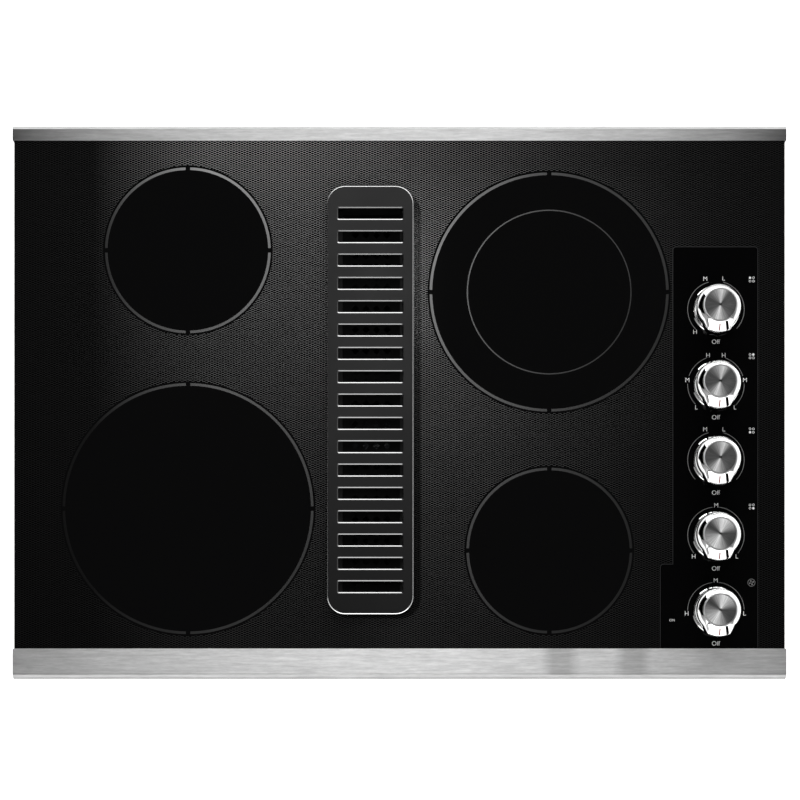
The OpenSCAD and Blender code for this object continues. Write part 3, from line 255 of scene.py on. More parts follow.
# The printed net's meshes, set like bricks: their pitch, and the half size of each mesh's dark oval as a
# share of it
NET_PITCH = (5.5 * MM, 2.27 * MM)
OVAL_HALF = (0.29, 0.4)
OVAL_EDGE = (0.93, 1.06)
MATT_EDGE = (0.92, 1.0)
OVAL_DARK = 0.0012
CELLS_AWAY = 200  # keeps the cells' numbers above 0 all over the glass
GLASS_ROUGH = (0.04, 0.42)
GLASS_GLOSS = 0.28
RING_GLOSS = 0.1

# The prints' painted sheen: a painted reflection of one soft light behind the left rear zone, and of one
# beside the grille on its right
SHEEN_LEFT = (-0.31, -0.19)
SHEEN_PEAK_X = -0.16
SHEEN_SPREAD_X = 0.245
SHEEN_REAR_Y = 0.25
SHEEN_SPREAD_Y = 0.19
BESIDE_X = (-0.06, 0.0)
BESIDE_PEAK = (0.02, 0.14)
BESIDE_SPREAD = (0.175, 0.2)
BESIDE_REAR = (0.14, 0.24)
BESIDE_STRONG = 0.125
SHEEN_FAINT = 0.004
SHEEN_STRONG = 0.27

# Where the grille's painted shadow lies on the glass, past its right and front edges
SHADE_LOW = (GRILLE_LOW.x + 6 * MM, GRILLE_LOW.y - 3.5 * MM)
SHADE_HIGH = (GRILLE_HIGH.x + 6.6 * MM, GRILLE_HIGH.y - 6 * MM)
SHADE_R = 20 * MM
SHADE_SOFT = 1.8 * MM


def painted_print_sheen(m):
    """Painted sheen: the prints' brightness by their place on the glass, a painted reflection of two soft
    lights.
    """
    x, y = m.parts(m.place())[:2]
    right = m.math("MAXIMUM", m.math("SUBTRACT", x, SHEEN_PEAK_X), 0.0)
    right = m.math("POWER", m.math("DIVIDE", right, SHEEN_SPREAD_X), 2.0)
    rear = m.math("DIVIDE", m.math("SUBTRACT", SHEEN_REAR_Y, y), SHEEN_SPREAD_Y)
    fade = m.math("EXPONENT", m.math("MULTIPLY", m.math("ADD", right, rear), -1.0))
    left_light = m.math("MULTIPLY", fade, m.span(x, *SHEEN_LEFT))
    away = m.math("DIVIDE", m.math("SUBTRACT", x, BESIDE_PEAK[0]), BESIDE_SPREAD[0])
    ahead = m.math("DIVIDE", m.math("SUBTRACT", y, BESIDE_PEAK[1]), BESIDE_SPREAD[1])
    fade = m.math("EXPONENT", m.math("SUBTRACT", ahead, m.math("MULTIPLY", away, away)))
    edges = m.math("MULTIPLY", m.span(x, *BESIDE_X), m.span(y, *BESIDE_REAR, 1.0, 0.0))
    beside = m.math("MULTIPLY", fade, edges)
    total = m.math("MULTIPLY_ADD", left_light, SHEEN_STRONG, m.math("MULTIPLY", beside, BESIDE_STRONG))
    patchy = m.noise(m.place((14, 14, 14)), 1.0, 2.0)
    total = m.math("MULTIPLY", total, m.span(patchy, 0.2, 0.8, 0.9, 1.1))
    return m.math("ADD", total, SHEEN_FAINT)


def painted_grille_shadow(m):
    """0 in the grille's painted shadow on the glass and 1 outside it."""
    (left, front), (right, rear) = SHADE_LOW, SHADE_HIGH
    place = m.vector("SUBTRACT", m.place((1, 1, 0)), ((left + right) / 2, (front + rear) / 2, 0))
    half = ((right - left) / 2 - SHADE_R, (rear - front) / 2 - SHADE_R, 0)
    past = m.vector("MAXIMUM", m.vector("SUBTRACT", m.vector("ABSOLUTE", place), half), (0, 0, 0))
    return m.span(m.vector("LENGTH", past), SHADE_R, SHADE_R + SHADE_SOFT)


def glass_material():
    """Black glass under a printed net, with a dark oval in each mesh of the net; the net's grey is a painted
    sheen, darkened in the grille's painted shadow.
    """
    m = Shading("glass_black")
    cell = m.place((1 / NET_PITCH[0], 1 / NET_PITCH[1], 0))
    distances = []
    for shift in (0.0, 0.5):
        inside = m.vector("FRACTION", m.vector("ADD", cell, (shift + CELLS_AWAY, shift + CELLS_AWAY, 0)))
        offset = m.vector("SUBTRACT", inside, (0.5, 0.5, 0))
        oval = m.vector("MULTIPLY", offset, (1 / OVAL_HALF[0], 1 / OVAL_HALF[1], 0))
        distances.append(m.vector("LENGTH", oval))
    nearest = m.math("MINIMUM", *distances)
    # The net's grey: the painted sheen, darkened where the grille's painted shadow lies.
    bright = m.math("MULTIPLY", m.math("SUBTRACT", painted_print_sheen(m), OVAL_DARK), painted_grille_shadow(m))
    m.put_grey(m.math("MULTIPLY_ADD", bright, m.span(nearest, *OVAL_EDGE), OVAL_DARK))
    m.put("Roughness", m.span(m.span(nearest, *MATT_EDGE), 0.0, 1.0, *GLASS_ROUGH))
    m.put("IOR", 1.5)
    m.put("Specular IOR Level", GLASS_GLOSS)
    return m.material


def print_material(name, colour, rough, gloss=0.5):
    """Enamel print on the glass."""
    m = Shading(name)
    fine = m.noise(m.place(), 900.0, 2.0)
    m.put_cloudy(fine, colour, 0.1)
    m.put("Roughness", m.span(fine, 0.2, 0.8, rough * 0.9, rough * 1.1))
    m.put("Specular IOR Level", gloss)
    return m.material


def ring_material(name, strength):
    """Enamel print of the zones' rings, whose grey is the painted sheen of the net round it."""
    m = Shading(name)
    m.put_grey(m.math("MULTIPLY", painted_print_sheen(m), strength))
    m.put("Roughness", GLASS_ROUGH[1])
    m.put("Specular IOR Level", RING_GLOSS)
    return m.material


def chrome_material(name="chrome", colour=(0.82, 0.82, 0.82), rough=0.06):
    """Polished or satin metal under a faint haze."""
    m = Shading(name)
    haze = m.noise(m.place(), 60.0, 3.0)
    m.put_cloudy(haze, colour, 0.03)
    m.put("Metallic", 1.0)
    m.put("Roughness", m.span(haze, *NOISE, rough * 0.8, rough * 1.3))
    return m.material


# The spun caps' painted sheen round their axis, with its painted highlight wedges, for the three rear knobs
# and the two
# front ones: its lowest grey, how sharply its wedges narrow, and of each wedge its direction, how far it
# spreads before and after it, and its strength. Directions are shares of a turn, counted from the right by
# way of the rear.
SPUN_REAR = (0.08, 2.0, ((0.21, 0.1, 0.21, 0.72), (0.7, 0.15, 0.18, 0.71)))
SPUN_FRONT = (0.07, 1.3, ((0.21, 0.21, 0.17, 0.94), (0.69, 0.28, 0.17, 0.78)))
SPUN_EDGE = (15.35 * MM, 15.45 * MM, 0.45)  # where the cap's painted bright rim begins, and its grey
SPUN_DIMPLE = (0.6 * MM, 2.0 * MM, 0.05)
GROOVES = 2600.0


def spun_material(name, shade, sharpness, wedges):
    """Metal spun on a lathe, with painted highlight wedges in its grey where its fine grooves would gather
    the light, and a painted bright rim.
    """
    m = Shading(name)
    x, y = m.parts(m.place())[:2]
    radius = m.math("SQRT", m.math("MULTIPLY_ADD", x, x, m.math("MULTIPLY", y, y)))
    turn = m.math("ARCTAN2", m.math("MULTIPLY", y, -1.0), m.math("MULTIPLY", x, -1.0))
    share = m.math("MULTIPLY_ADD", turn, 0.5 / math.pi, 0.5)
    # Each wedge adds a painted highlight to the grey.
    for at, before, after, strength in wedges:
        near = m.math("MULTIPLY", m.span(share, at - before, at), m.span(share, at, at + after, 1.0, 0.0))
        shade = m.math("MULTIPLY_ADD", m.math("POWER", near, sharpness), strength, shade)
    groove = m.noise(m.pair(m.math("MULTIPLY", radius, GROOVES), 0.0), 1.0, 3.0, 0.7)
    ray = m.noise(m.pair(m.math("MULTIPLY", share, 70.0), m.math("MULTIPLY", radius, 60.0)), 1.0, 3.0, 0.6)
    mixed = m.math("MULTIPLY", m.span(groove, *NOISE, 0.85, 1.15), m.span(ray, *NOISE, 0.7, 1.3))
    start, end, dark = SPUN_DIMPLE
    mixed = m.math("MULTIPLY", mixed, m.span(radius, start, end, dark, 1.0))
    tint = m.math("MULTIPLY", shade, mixed)
    # A painted highlight on the cap's rim.
    start, end, grey = SPUN_EDGE
    m.put("Base Color", m.mix(m.span(radius, start, end), tint, (grey, grey, grey, 1)))
    m.put("Metallic", 0.2)
    m.put("Roughness", m.span(groove, *NOISE, 0.36, 0.46))
    m.put("Specular IOR Level", 0.12)
    return m.material


# Polished edge of the grille's rim, with a painted highlight at its ends: how far its bright ends reach, and
# its greys at the sides and the ends
RIM_ENDS = (20 * MM, 5 * MM)
RIM_SHADES = (0.36, 0.92)


def rim_edge_material():
    """Polished edge of the grille's rim, with a painted highlight that brightens its two ends."""
    m = Shading("rim_edge")
    from_middle = m.math("ABSOLUTE", m.math("SUBTRACT", m.parts(m.place())[1], GRILLE_AT.y))
    end = (GRILLE_HIGH.y - GRILLE_LOW.y) / 2
    m.put_grey(m.span(from_middle, *(end - reach for reach in RIM_ENDS), *RIM_SHADES))
    m.put("Metallic", 1.0)
    m.put("Roughness", 0.2)
    return m.material


# Width over which a trim's painted outer edge grey begins
EDGE_SOFT = 0.4 * MM


def trim_material(name, bright, fall, power, edge, lines, bands=()):
    """Brushed stainless steel, with a painted sheen that falls off towards both ends.

    edge is where the outer bevel's painted grey begins and that grey; lines along the trim are painted shade
    and bands across it are painted dark reflections, each given by its place, its half width and its depth."""
    m = Shading(name)
    grain = m.noise(m.place((90, 650, 650)), 1.0, 3.0, 0.65)
    streak = m.noise(m.place((25, 330, 330), (3, 5, 7)), 1.0, 2.0, 0.5)
    x, y = m.parts(m.place())[:2]
    off = m.math("ABSOLUTE", y)
    away = m.math("MULTIPLY", m.math("ABSOLUTE", x), 1 / GLASS_HIGH.x)
    # Painted sheen, falling off towards both ends.
    shade = m.math("MULTIPLY", m.math("MULTIPLY_ADD", m.math("POWER", away, power), -fall, 1.0), bright)

    def darkened(shade, value, at, half, depth, core):
        beside = m.math("ABSOLUTE", m.math("SUBTRACT", value, at))
        return m.math("MULTIPLY", shade, m.span(beside, half * core, half, 1 - depth, 1.0))

    # Painted dark reflection bands across the trim.
    for band in bands:
        shade = darkened(shade, x, *band, 0.4)
    # Painted grey on the outer bevel, standing in for its reflection.
    start, grey = edge
    outside = m.span(off, start, start + EDGE_SOFT)
    shade = m.math("MULTIPLY_ADD", m.math("SUBTRACT", grey, shade), outside, shade)
    # Painted lines of shade along the trim.
    for line in lines:
        shade = darkened(shade, off, *line, 0.5)
    mixed = m.math("MULTIPLY", m.span(grain, *NOISE, 0.88, 1.12), m.span(streak, *NOISE, 0.9, 1.1))
    m.put("Base Color", m.math("MULTIPLY", shade, mixed))
    m.put("Metallic", 0.1)
    m.put("Roughness", m.span(grain, *NOISE, 0.38, 0.48))
    m.bump(grain, 0.01 * MM)
    return m.material


def smoked_plastic():
    m = Shading("smoked_plastic")
    flow = m.noise(m.place((20, 20, 5)), 1.0, 2.0)
    m.put("Base Color", m.colours(flow, (0.008, 0.0085, 0.009), (0.014, 0.015, 0.016)))
    m.put("Roughness", m.span(flow, *NOISE, 0.1, 0.2))
    m.put("Transmission Weight", 0.6)
    m.put("IOR", 1.49)
    return m.material


def fibre_material():
    m = Shading("ceramic_fibre")
    wool = m.noise(m.place(), 420.0, 6.0, 0.7)
    m.put("Base Color", m.colours(wool, (0.62, 0.6, 0.54), (0.9, 0.88, 0.83)))
    m.put("Roughness", 0.95)
    m.bump(wool, 0.6 * MM, 0.8)
    return m.material


def ribbon_material():
    m = Shading("heater_ribbon")
    scorch = m.noise(m.place(), 45.0, 4.0)
    m.put("Base Color", m.colours(m.span(scorch, *NOISE), (0.1, 0.075, 0.065), (0.34, 0.25, 0.2)))
    m.put("Metallic", 0.8)
    m.put("Roughness", m.span(scorch, *NOISE, 0.4, 0.65))
    return m.material


BLACK_GLASS = glass_material()
PLAIN_BLACK = print_material("plain_black", (0.0016, 0.0016, 0.0017), 0.02, GLASS_GLOSS)
RING_PRINT = ring_material("ring_print", 1.2)
RING_FINE = ring_material("ring_fine", 0.95)
BRIGHT_PRINT = print_material("bright_print", (0.85, 0.85, 0.85), 0.5)
DISC_BLACK = print_material("disc_black", (0.0034, 0.0034, 0.0035), 0.03, GLASS_GLOSS)
DIM_PRINT = print_material("dim_print", (0.17, 0.17, 0.17), 0.5)
CHROME = chrome_material()
SPUN = [spun_material("spun_rear", *SPUN_REAR)] * 3 + [spun_material("spun_front", *SPUN_FRONT)] * 2
# Matt black for the strip of painted shadow beside each knob's grip
SHADOW_PAINT_BLACK = print_material("shadow_paint_black", (0.001, 0.001, 0.001), 0.9, 0.0)
CHARCOAL = painted("charcoal", (0.005, 0.005, 0.0052), 0.45, 2600.0, 0.015 * MM, gloss=0.26)
SLOT_EDGE = chrome_material("slot_edge", (0.29, 0.29, 0.29), 0.2)
RIM_EDGE = rim_edge_material()
RED_PRINT = print_material("red_print", (0.22, 0.006, 0.012), 0.6)
# The trims' painted sheen, painted edge grey, painted shade lines, and on the front trim painted dark
# reflection bands
REAR_STEEL = trim_material("rear_trim_steel", 0.66, 0.88, 2.5, (0.2763, 0.54), ((0.2794, 0.0009, 0.25),))
FRONT_STEEL = trim_material("front_trim_steel", 0.86, 0.58, 1.6, (0.2755, 0.53),
                            ((0.2748, 0.0009, 0.2), (0.2789, 0.0012, 0.25)),
                            ((0.163, 0.02, 0.32), (0.236, 0.02, 0.3)))
SATIN_RIM = chrome_material("satin_rim", (0.8, 0.8, 0.8), 0.4)


# Meshes
JOINED_SHARP = 30  # degrees
SAME_PLACE = 0.002 * MM


def link(name, mesh):
    piece = bpy.data.objects.new(name, mesh)
    SCENE.collection.objects.link(piece)
    return piece


def from_bmesh(name, bm, smooth_angle=None):
    bmesh.ops.recalc_face_normals(bm, faces=bm.faces)
    mesh = bpy.data.meshes.new(name)
    bm.to_mesh(mesh)
    bm.free()
    if smooth_angle is not None:
        for polygon in mesh.polygons:
            polygon.use_smooth = True
        mesh.set_sharp_from_angle(angle=math.radians(smooth_angle))
    return link(name, mesh)


def finish_piece(piece, body, material, stands_for=()):
    piece.data.materials.clear()
    piece.data.materials.append(material)
    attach(piece, body)
    if stands_for:
        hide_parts(*stands_for)


def on_glass(piece, material):
    finish_piece(piece, "cooktop", material)


def joined(name, pieces):
    """One object from several, with their materials kept."""
    bm = bmesh.new()
    materials = []
    for piece in pieces:
        start = len(bm.faces)
        bm.from_mesh(piece.data)
        bm.faces.ensure_lookup_table()
        for face in list(bm.faces)[start:]:
            used = piece.data.materials[face.material_index] if piece.data.materials else None
            if used not in materials:
                materials.append(used)
            face.material_index = materials.index(used)
    smooth = any(p.use_smooth for piece in pieces for p in piece.data.polygons)
    mesh = bpy.data.meshes.new(name)
    bm.to_mesh(mesh)
    bm.free()
    for material in materials:
        mesh.materials.append(material)
    if smooth:
        mesh.set_sharp_from_angle(angle=math.radians(JOINED_SHARP))
    for piece in pieces:
        bpy.data.objects.remove(piece)
    return link(name, mesh)


def arc_points(x, y, radius, start, end, steps):
    """Points on an arc, with its angles in degrees."""
    for i in range(steps + 1):
        a = math.radians(start + (end - start) * i / steps)
        yield (x + radius * math.cos(a), y + radius * math.sin(a))


def rounded_outline(x, y, width, depth, radius, steps=10):
    """A rectangle about (x, y) with round corners."""
    points = []
    corners = ((1, 1, 0), (-1, 1, 90), (-1, -1, 180), (1, -1, 270))
    for sx, sy, start in corners:
        cx = x + sx * (width / 2 - radius)
        cy = y + sy * (depth / 2 - radius)
        points += arc_points(cx, cy, radius, start, start + 90, steps)
    return points


def circle_outline(x, y, radius, steps):
    return list(arc_points(x, y, radius, 0, 360, steps))[:-1]


def rounded_wall(x, y, width, depth, radius, thick):
    """The two outlines of a wall round a rectangle with round corners."""
    return [rounded_outline(x, y, width, depth, radius),
            rounded_outline(x, y, width - 2 * thick, depth - 2 * thick, radius - thick)]


def flat_curve(name, outlines):
    """A filled curve, from an outline and its holes."""
    curve = bpy.data.curves.new(name, "CURVE")
    curve.dimensions = "2D"
    curve.fill_mode = "BOTH"
    for points in outlines:
        spline = curve.splines.new("POLY")
        spline.points.add(len(points) - 1)
        for point, (x, y) in zip(spline.points, points):
            point.co = (x, y, 0, 1)
        spline.use_cyclic_u = True
    return curve


def mesh_of(curve):
    """The mesh that a curve or a text gives."""
    source = bpy.data.objects.new(curve.name, curve)
    SCENE.collection.objects.link(source)
    bpy.context.view_layer.update()
    graph = bpy.context.evaluated_depsgraph_get()
    mesh = bpy.data.meshes.new_from_object(source.evaluated_get(graph))
    bpy.data.objects.remove(source)
    return mesh


def plate(name, outlines, low, high, bevel=0.0):
    """A flat plate between two levels, from an outline and its holes, with bevelled edges."""
    curve = flat_curve(name, outlines)
    curve.extrude = (high - low) / 2 - bevel
    curve.bevel_depth = bevel
    curve.bevel_resolution = 1
    curve.offset = -bevel
    mesh = mesh_of(curve)
    mesh.transform(Matrix.Translation((0, 0, (low + high) / 2)))
    bm = bmesh.new()
    bm.from_mesh(mesh)
    bmesh.ops.remove_doubles(bm, verts=bm.verts, dist=SAME_PLACE)
    bm.to_mesh(mesh)
    bm.free()
    return link(name, mesh)


def ring_sector(bm, x, y, inner, outer, start, end, low, high, steps):
    """A thin curved bar between two radii and two angles, as one closed solid."""
    rows = []
    for i in range(steps + 1):
        a = math.radians(start + (end - start) * i / steps)
        c, s = math.cos(a), math.sin(a)
        rows.append([bm.verts.new((x + r * c, y + r * s, z))
                     for r, z in ((inner, low), (outer, low), (outer, high), (inner, high))])
    for a, b in zip(rows, rows[1:]):
        for k in range(4):
            bm.faces.new((a[k], a[(k + 1) % 4], b[(k + 1) % 4], b[k]))
    bm.faces.new(rows[0][::-1])
    bm.faces.new(rows[-1])


# Prints on the glass, by their levels: rings reach through the discs, and marks lie on the plain panel
LAYER = 0.02 * MM
DISC_Z = (GLASS_Z, GLASS_Z + LAYER)
RING_Z = (GLASS_Z, GLASS_Z + 2 * LAYER)
MARK_Z = (GLASS_Z + LAYER, GLASS_Z + 2 * LAYER)
RING_WIDTH = 2.6 * MM
RING_GAP = 4.6 * MM
DARK_BAND = 3.3 * MM
INNER_WIDTH = 1.15 * MM
FULL_TURN = 359.9  # a hair short, because a bar's two ends stay apart


def curved_print(name, material, levels, bars):
    """A print of curved bars: the centre, two radii, two angles and the steps of each."""
    bm = bmesh.new()
    for x, y, inner, outer, start, end, steps in bars:
        ring_sector(bm, x, y, inner, outer, start, end, *levels, steps)
    on_glass(from_bmesh(name, bm), material)


def zone_print(name, zone):
    """A zone's dark disc and its printed ring, in four arcs."""
    x, y, radius = zone
    disc = plate(f"zone_disc_{name}", [circle_outline(x, y, radius + DARK_BAND, 128)], *DISC_Z)
    on_glass(disc, DISC_BLACK)
    inner, outer = radius - RING_WIDTH / 2, radius + RING_WIDTH / 2
    half = math.degrees(RING_GAP / 2 / radius)
    arcs = [(x, y, inner, outer, start + half, start + 90 - half, 40) for start in range(0, 360, 90)]
    curved_print(f"zone_ring_{name}", RING_PRINT, RING_Z, arcs)


def inner_ring():
    """The thin ring of the dual zone's inner circle."""
    inner, outer = INNER_R - INNER_WIDTH / 2, INNER_R + INNER_WIDTH / 2
    arcs = [(*REAR_RIGHT[:2], inner, outer, start, start + 90, 40) for start in range(0, 360, 90)]
    curved_print("zone_ring_inner", RING_FINE, RING_Z, arcs)


# The plain panel round the knobs
PANEL_LEFT = 277 * MM
PANEL_RIGHT = 362.4 * MM
PANEL_REAR = 157.3 * MM
PANEL_STEP_X = 264.3 * MM
PANEL_STEP_Y = -163.9 * MM
PANEL_R = 3 * MM
PANEL_LINE = 0.5 * MM
UNDER_TRIM = 1.5 * MM


def panel_outline(grow):
    """The panel's outline, with its step beside the lamps, grown outwards. It ends under the front trim."""
    front = TRIM_FRONT[1].y - UNDER_TRIM
    left, right = PANEL_LEFT - grow, PANEL_RIGHT + grow
    rear, step_x, step_y = PANEL_REAR + grow, PANEL_STEP_X - grow, PANEL_STEP_Y + grow
    r = PANEL_R + grow
    return [
        *arc_points(right - r, rear - r, r, 0, 90, 6),
        *arc_points(left + r, rear - r, r, 90, 180, 6),
        (left, step_y),
        *arc_points(step_x + r, step_y - r, r, 90, 180, 6),
        (step_x, front), (right, front),
    ]


def panel():
    """The plain panel and the thin line round it."""
    line = plate("panel_border", [panel_outline(PANEL_LINE), panel_outline(0)], *DISC_Z)
    on_glass(line, print_material("border_print", (0.02, 0.02, 0.021), 0.35))
    on_glass(plate("panel_face", [panel_outline(0)], *DISC_Z), PLAIN_BLACK)


# Letters and dial arcs
MARK_LETTER = 6.3 * MM
ON_LETTER = 3.6 * MM
MARK_THIN = 0.02 * MM
ARC_R = 28.6 * MM
ARC_LINE = 0.6 * MM
PX = 1.0129 * MM
PHOTO_CENTRE = (399.0, 402.0)


def photo_point(px, py):
    """A point on the glass from its place in the 800 by 800 photograph."""
    return ((px - PHOTO_CENTRE[0]) * PX, (PHOTO_CENTRE[1] - py) * PX)


def letters(name, text, px, py, size=MARK_LETTER):
    """Raised print that reads as text, centred on a place of the photograph."""
    curve = bpy.data.curves.new(name, "FONT")
    curve.body = text
    curve.size = size
    curve.align_x = "CENTER"
    curve.align_y = "CENTER"
    curve.extrude = LAYER / 2
    curve.offset = -MARK_THIN
    mesh = mesh_of(curve)
    x, y = photo_point(px, py)
    mesh.transform(Matrix.Translation((x, y, sum(MARK_Z) / 2)))
    return link(name, mesh)


# Marks round each knob: letter and its place in the photograph
KNOB_MARKS = [
    [("M", 704.5, 278.5), ("L", 722.7, 278.2), ("H", 694.4, 331.6), ("Off", 715, 341.5)],
    [("H", 707.3, 355), ("H", 723, 355), ("M", 686.7, 379.7), ("M", 744.2, 379.7),
     ("L", 695.5, 407), ("L", 734.2, 407), ("Off", 715, 417)],
    [("M", 704.4, 429), ("L", 722.9, 429), ("Off", 715, 492.3)],
    [("M", 715.5, 505), ("H", 693, 556), ("L", 736, 556), ("Off", 715, 568)],
    [("M", 715, 580), ("H", 686, 613), ("L", 743.6, 613), ("Off", 715, 643)],
]
# Dial arcs: start and end in degrees, counted from the right towards the rear
KNOB_ARCS = [
    [(105, 225), (-43, 75)],
    [(110, 162), (178, 223), (18, 70), (-46, 2)],
    [(105, 223), (-43.5, 75)],
    [(97, 219), (-39, 83)],
    [(97, 180), (2, 85)],
]


def knob_marks(i):
    """The letters and the dial arcs round a knob."""
    at = KNOB_AT[i]
    signs = [letters(f"mark_{i}_{k}", text, px, py) for k, (text, px, py) in enumerate(KNOB_MARKS[i])]
    on_glass(joined(f"dial_letters_{i + 1}", signs), BRIGHT_PRINT)
    inner, outer = ARC_R - ARC_LINE / 2, ARC_R + ARC_LINE / 2
    arcs = [(at.x, at.y, inner, outer, start, end, max(6, int((end - start) / 4)))
            for start, end in KNOB_ARCS[i]]
    curved_print(f"dial_arcs_{i + 1}", DIM_PRINT, MARK_Z, arcs)


# Locator signs: four small rings in a square, with the knob's own zone filled
SIGN_X = 751
SIGN_ROWS = [279, 355.7, 430, 506]
SIGN_FILLED = [(-1, 1), (1, 1), (-1, -1), (1, -1)]
SIGN_STEP = 1.68 * MM
SIGN_R = 1.2 * MM
SIGN_LINE = 0.38 * MM
SIGN_HOLE = 0.02 * MM  # what stays open in a filled ring

# The fan sign: a ring round four blades
FAN_SIGN = (750.7, 582)
FAN_RING = (3.4 * MM, 3.9 * MM)
FAN_BLADE = (0.5 * MM, 2.6 * MM)
FAN_BLADE_ANGLE = 44


def locator_sign(i):
    x, y = photo_point(SIGN_X, SIGN_ROWS[i])
    rings = []
    for sx in (-1, 1):
        for sy in (-1, 1):
            inner = SIGN_HOLE if (sx, sy) == SIGN_FILLED[i] else SIGN_R - SIGN_LINE
            rings.append((x + sx * SIGN_STEP, y + sy * SIGN_STEP, inner, SIGN_R, 0, FULL_TURN, 20))
    curved_print(f"locator_sign_{i + 1}", BRIGHT_PRINT, MARK_Z, rings)


def fan_sign():
    at = photo_point(*FAN_SIGN)
    blades = [(*at, *FAN_BLADE, a, a + FAN_BLADE_ANGLE, 6) for a in range(0, 360, 90)]
    curved_print("fan_sign", DIM_PRINT, MARK_Z, [(*at, *FAN_RING, 0, FULL_TURN, 32), *blades])


# The grille: a slotted plate, its rim and its skirt
SLOTS = 17
SLOT_PITCH = 23.55 * MM
SLOT_SIZE = (67 * MM, 13 * MM)
SLOT_R = 1.5 * MM
GRILLE_R = 18 * MM
PLATE_T = 3 * MM
RIM_T = 3.5 * MM
SKIRT_T = 1.5 * MM
SKIRT_OUT = (72 * MM, 417 * MM, 10 * MM)
SLOT_CHAMFER = 0.95 * MM
RIM_CHAMFER = 0.7 * MM
CHAMFER_H = 0.55 * MM
WALL_BEVEL = 0.2 * MM
WALL_LAP = 0.5 * MM  # how far the rim's and the skirt's walls reach into the plate
RIM_OPEN = 0.2 * MM  # between the rim and the glass
LEVEL = 0.98         # a face whose normal rises more than this is flat
UPRIGHT = 0.25       # and less than this, a wall


def layered_plate(name, outline_sets, levels):
    """A plate whose outlines change from level to level, closed by flat faces below and above."""
    bm = bmesh.new()
    for outlines, z in ((outline_sets[0], levels[0]), (outline_sets[-1], levels[-1])):
        flat = mesh_of(flat_curve("outline", outlines))
        flat.transform(Matrix.Translation((0, 0, z)))
        bm.from_mesh(flat)
    for lower, upper, z0, z1 in zip(outline_sets, outline_sets[1:], levels, levels[1:]):
        for a, b in zip(lower, upper):
            low = [bm.verts.new((x, y, z0)) for x, y in a]
            high = [bm.verts.new((x, y, z1)) for x, y in b]
            for k in range(len(a)):
                n = (k + 1) % len(a)
                bm.faces.new((low[k], low[n], high[n], high[k]))
    bmesh.ops.remove_doubles(bm, verts=bm.verts, dist=SAME_PLACE)
    return from_bmesh(name, bm)


def vent_grille():
    """The slotted plate with its chamfers, the rim on the glass and the skirt inside the opening."""
    x, y = GRILLE_AT.xy
    width, depth = (GRILLE_HIGH - GRILLE_LOW).xy
    top, low = GRILLE_HIGH.z, GRILLE_HIGH.z - PLATE_T
    first = y - (SLOTS - 1) / 2 * SLOT_PITCH

    def outlines(inset, share):
        """The rim's outline and the slots', with a share of their chamfers cut."""
        w, d = (side - 2 * SLOT_CHAMFER * (1 - share) for side in SLOT_SIZE)
        slots = [rounded_outline(x, first + i * SLOT_PITCH, w, d, SLOT_R, 4) for i in range(SLOTS)]
        return [rounded_outline(x, y, width - 2 * inset, depth - 2 * inset, GRILLE_R - inset), *slots]

    face = layered_plate("grille_face", [outlines(0, 0), outlines(0, 0), outlines(RIM_CHAMFER, 1)],
                         [low, top - CHAMFER_H, top])
    for material in (CHARCOAL, SLOT_EDGE, RIM_EDGE):
        face.data.materials.append(material)
    slots_x = SLOT_SIZE[0] / 2 + MM
    slots_y = y - first + SLOT_SIZE[1] / 2 + MM
    for polygon in face.data.polygons:
        if UPRIGHT < polygon.normal.z < LEVEL:
            among_slots = abs(polygon.center.x - x) < slots_x and abs(polygon.center.y - y) < slots_y
            polygon.material_index = 1 if among_slots else 2
    walls = [
        plate("grille_rim", rounded_wall(x, y, width, depth, GRILLE_R, RIM_T),
              GLASS_Z + RIM_OPEN, low + WALL_LAP, WALL_BEVEL),
        plate("grille_skirt", rounded_wall(x, y, *SKIRT_OUT, SKIRT_T),
              GRILLE_LOW.z, low + WALL_LAP, WALL_BEVEL),
    ]
    for wall in walls:
        wall.data.materials.append(CHARCOAL)
    body = joined("grille_body", [face, *walls])
    for polygon in body.data.polygons:
        if polygon.normal.z > LEVEL:
            polygon.use_smooth = False
    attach(body, "grille")
    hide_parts("vent_grille")


# Knobs
KNOB_R = 22 * MM
POINTER_R = 26.3 * MM
POINTER_W = 20 * MM
TOP_R = 16.9 * MM
RECESS_R = 15.7 * MM
SKIRT_H = 15 * MM
SATIN_H = SKIRT_H + 4.75 * MM  # the rim above this level is satin
FLANK = (0.97, -0.24)  # where the pointer's sides leave the round body, in shares of its radius
PARALLEL = 1e-12
SLACK = 1e-6


def knob_radius(angle, round_r, reach, half_width):
    """How far the knob's plan outline reaches at an angle from its centre; the pointer is at -90."""
    c, s = math.cos(angle), math.sin(angle)
    best = round_r
    if s < 0:
        x, y = round_r * FLANK[0], round_r * FLANK[1]
        corners = [(x, y), (half_width, -reach), (-half_width, -reach), (-x, y)]
        for (x0, y0), (x1, y1) in zip(corners, corners[1:]):
            ex, ey = x1 - x0, y1 - y0
            across = c * ey - s * ex
            if abs(across) > PARALLEL:
                along = (x0 * ey - y0 * ex) / across
                share = (x0 * s - y0 * c) / across
                if along > 0 and -SLACK <= share <= 1 + SLACK:
                    best = max(best, along)
    return min(best, reach)


def knob_ring(bm, share, round_r, z, angles):
    """One level of the knob: share 1 has the whole pointer, and share 0 is a plain circle."""
    ring = []
    for a in angles:
        pointed = knob_radius(a, round_r, round_r + POINTER_R - KNOB_R, POINTER_W / 2)
        r = round_r + (pointed - round_r) * share
        ring.append(bm.verts.new((r * math.cos(a), r * math.sin(a), z)))
    return ring


def closed_stack(name, bm, rings, smooth_angle=None):
    """A solid of rings joined one to the next, with a flat face at either end."""
    for a, b in zip(rings, rings[1:]):
        n = len(a)
        for k in range(n):
            bm.faces.new((a[k], a[(k + 1) % n], b[(k + 1) % n], b[k]))
    bm.faces.new(rings[0])
    bm.faces.new(rings[-1])
    return from_bmesh(name, bm, smooth_angle)


def turn_angles(steps):
    return [2 * math.pi * k / steps for k in range(steps)]


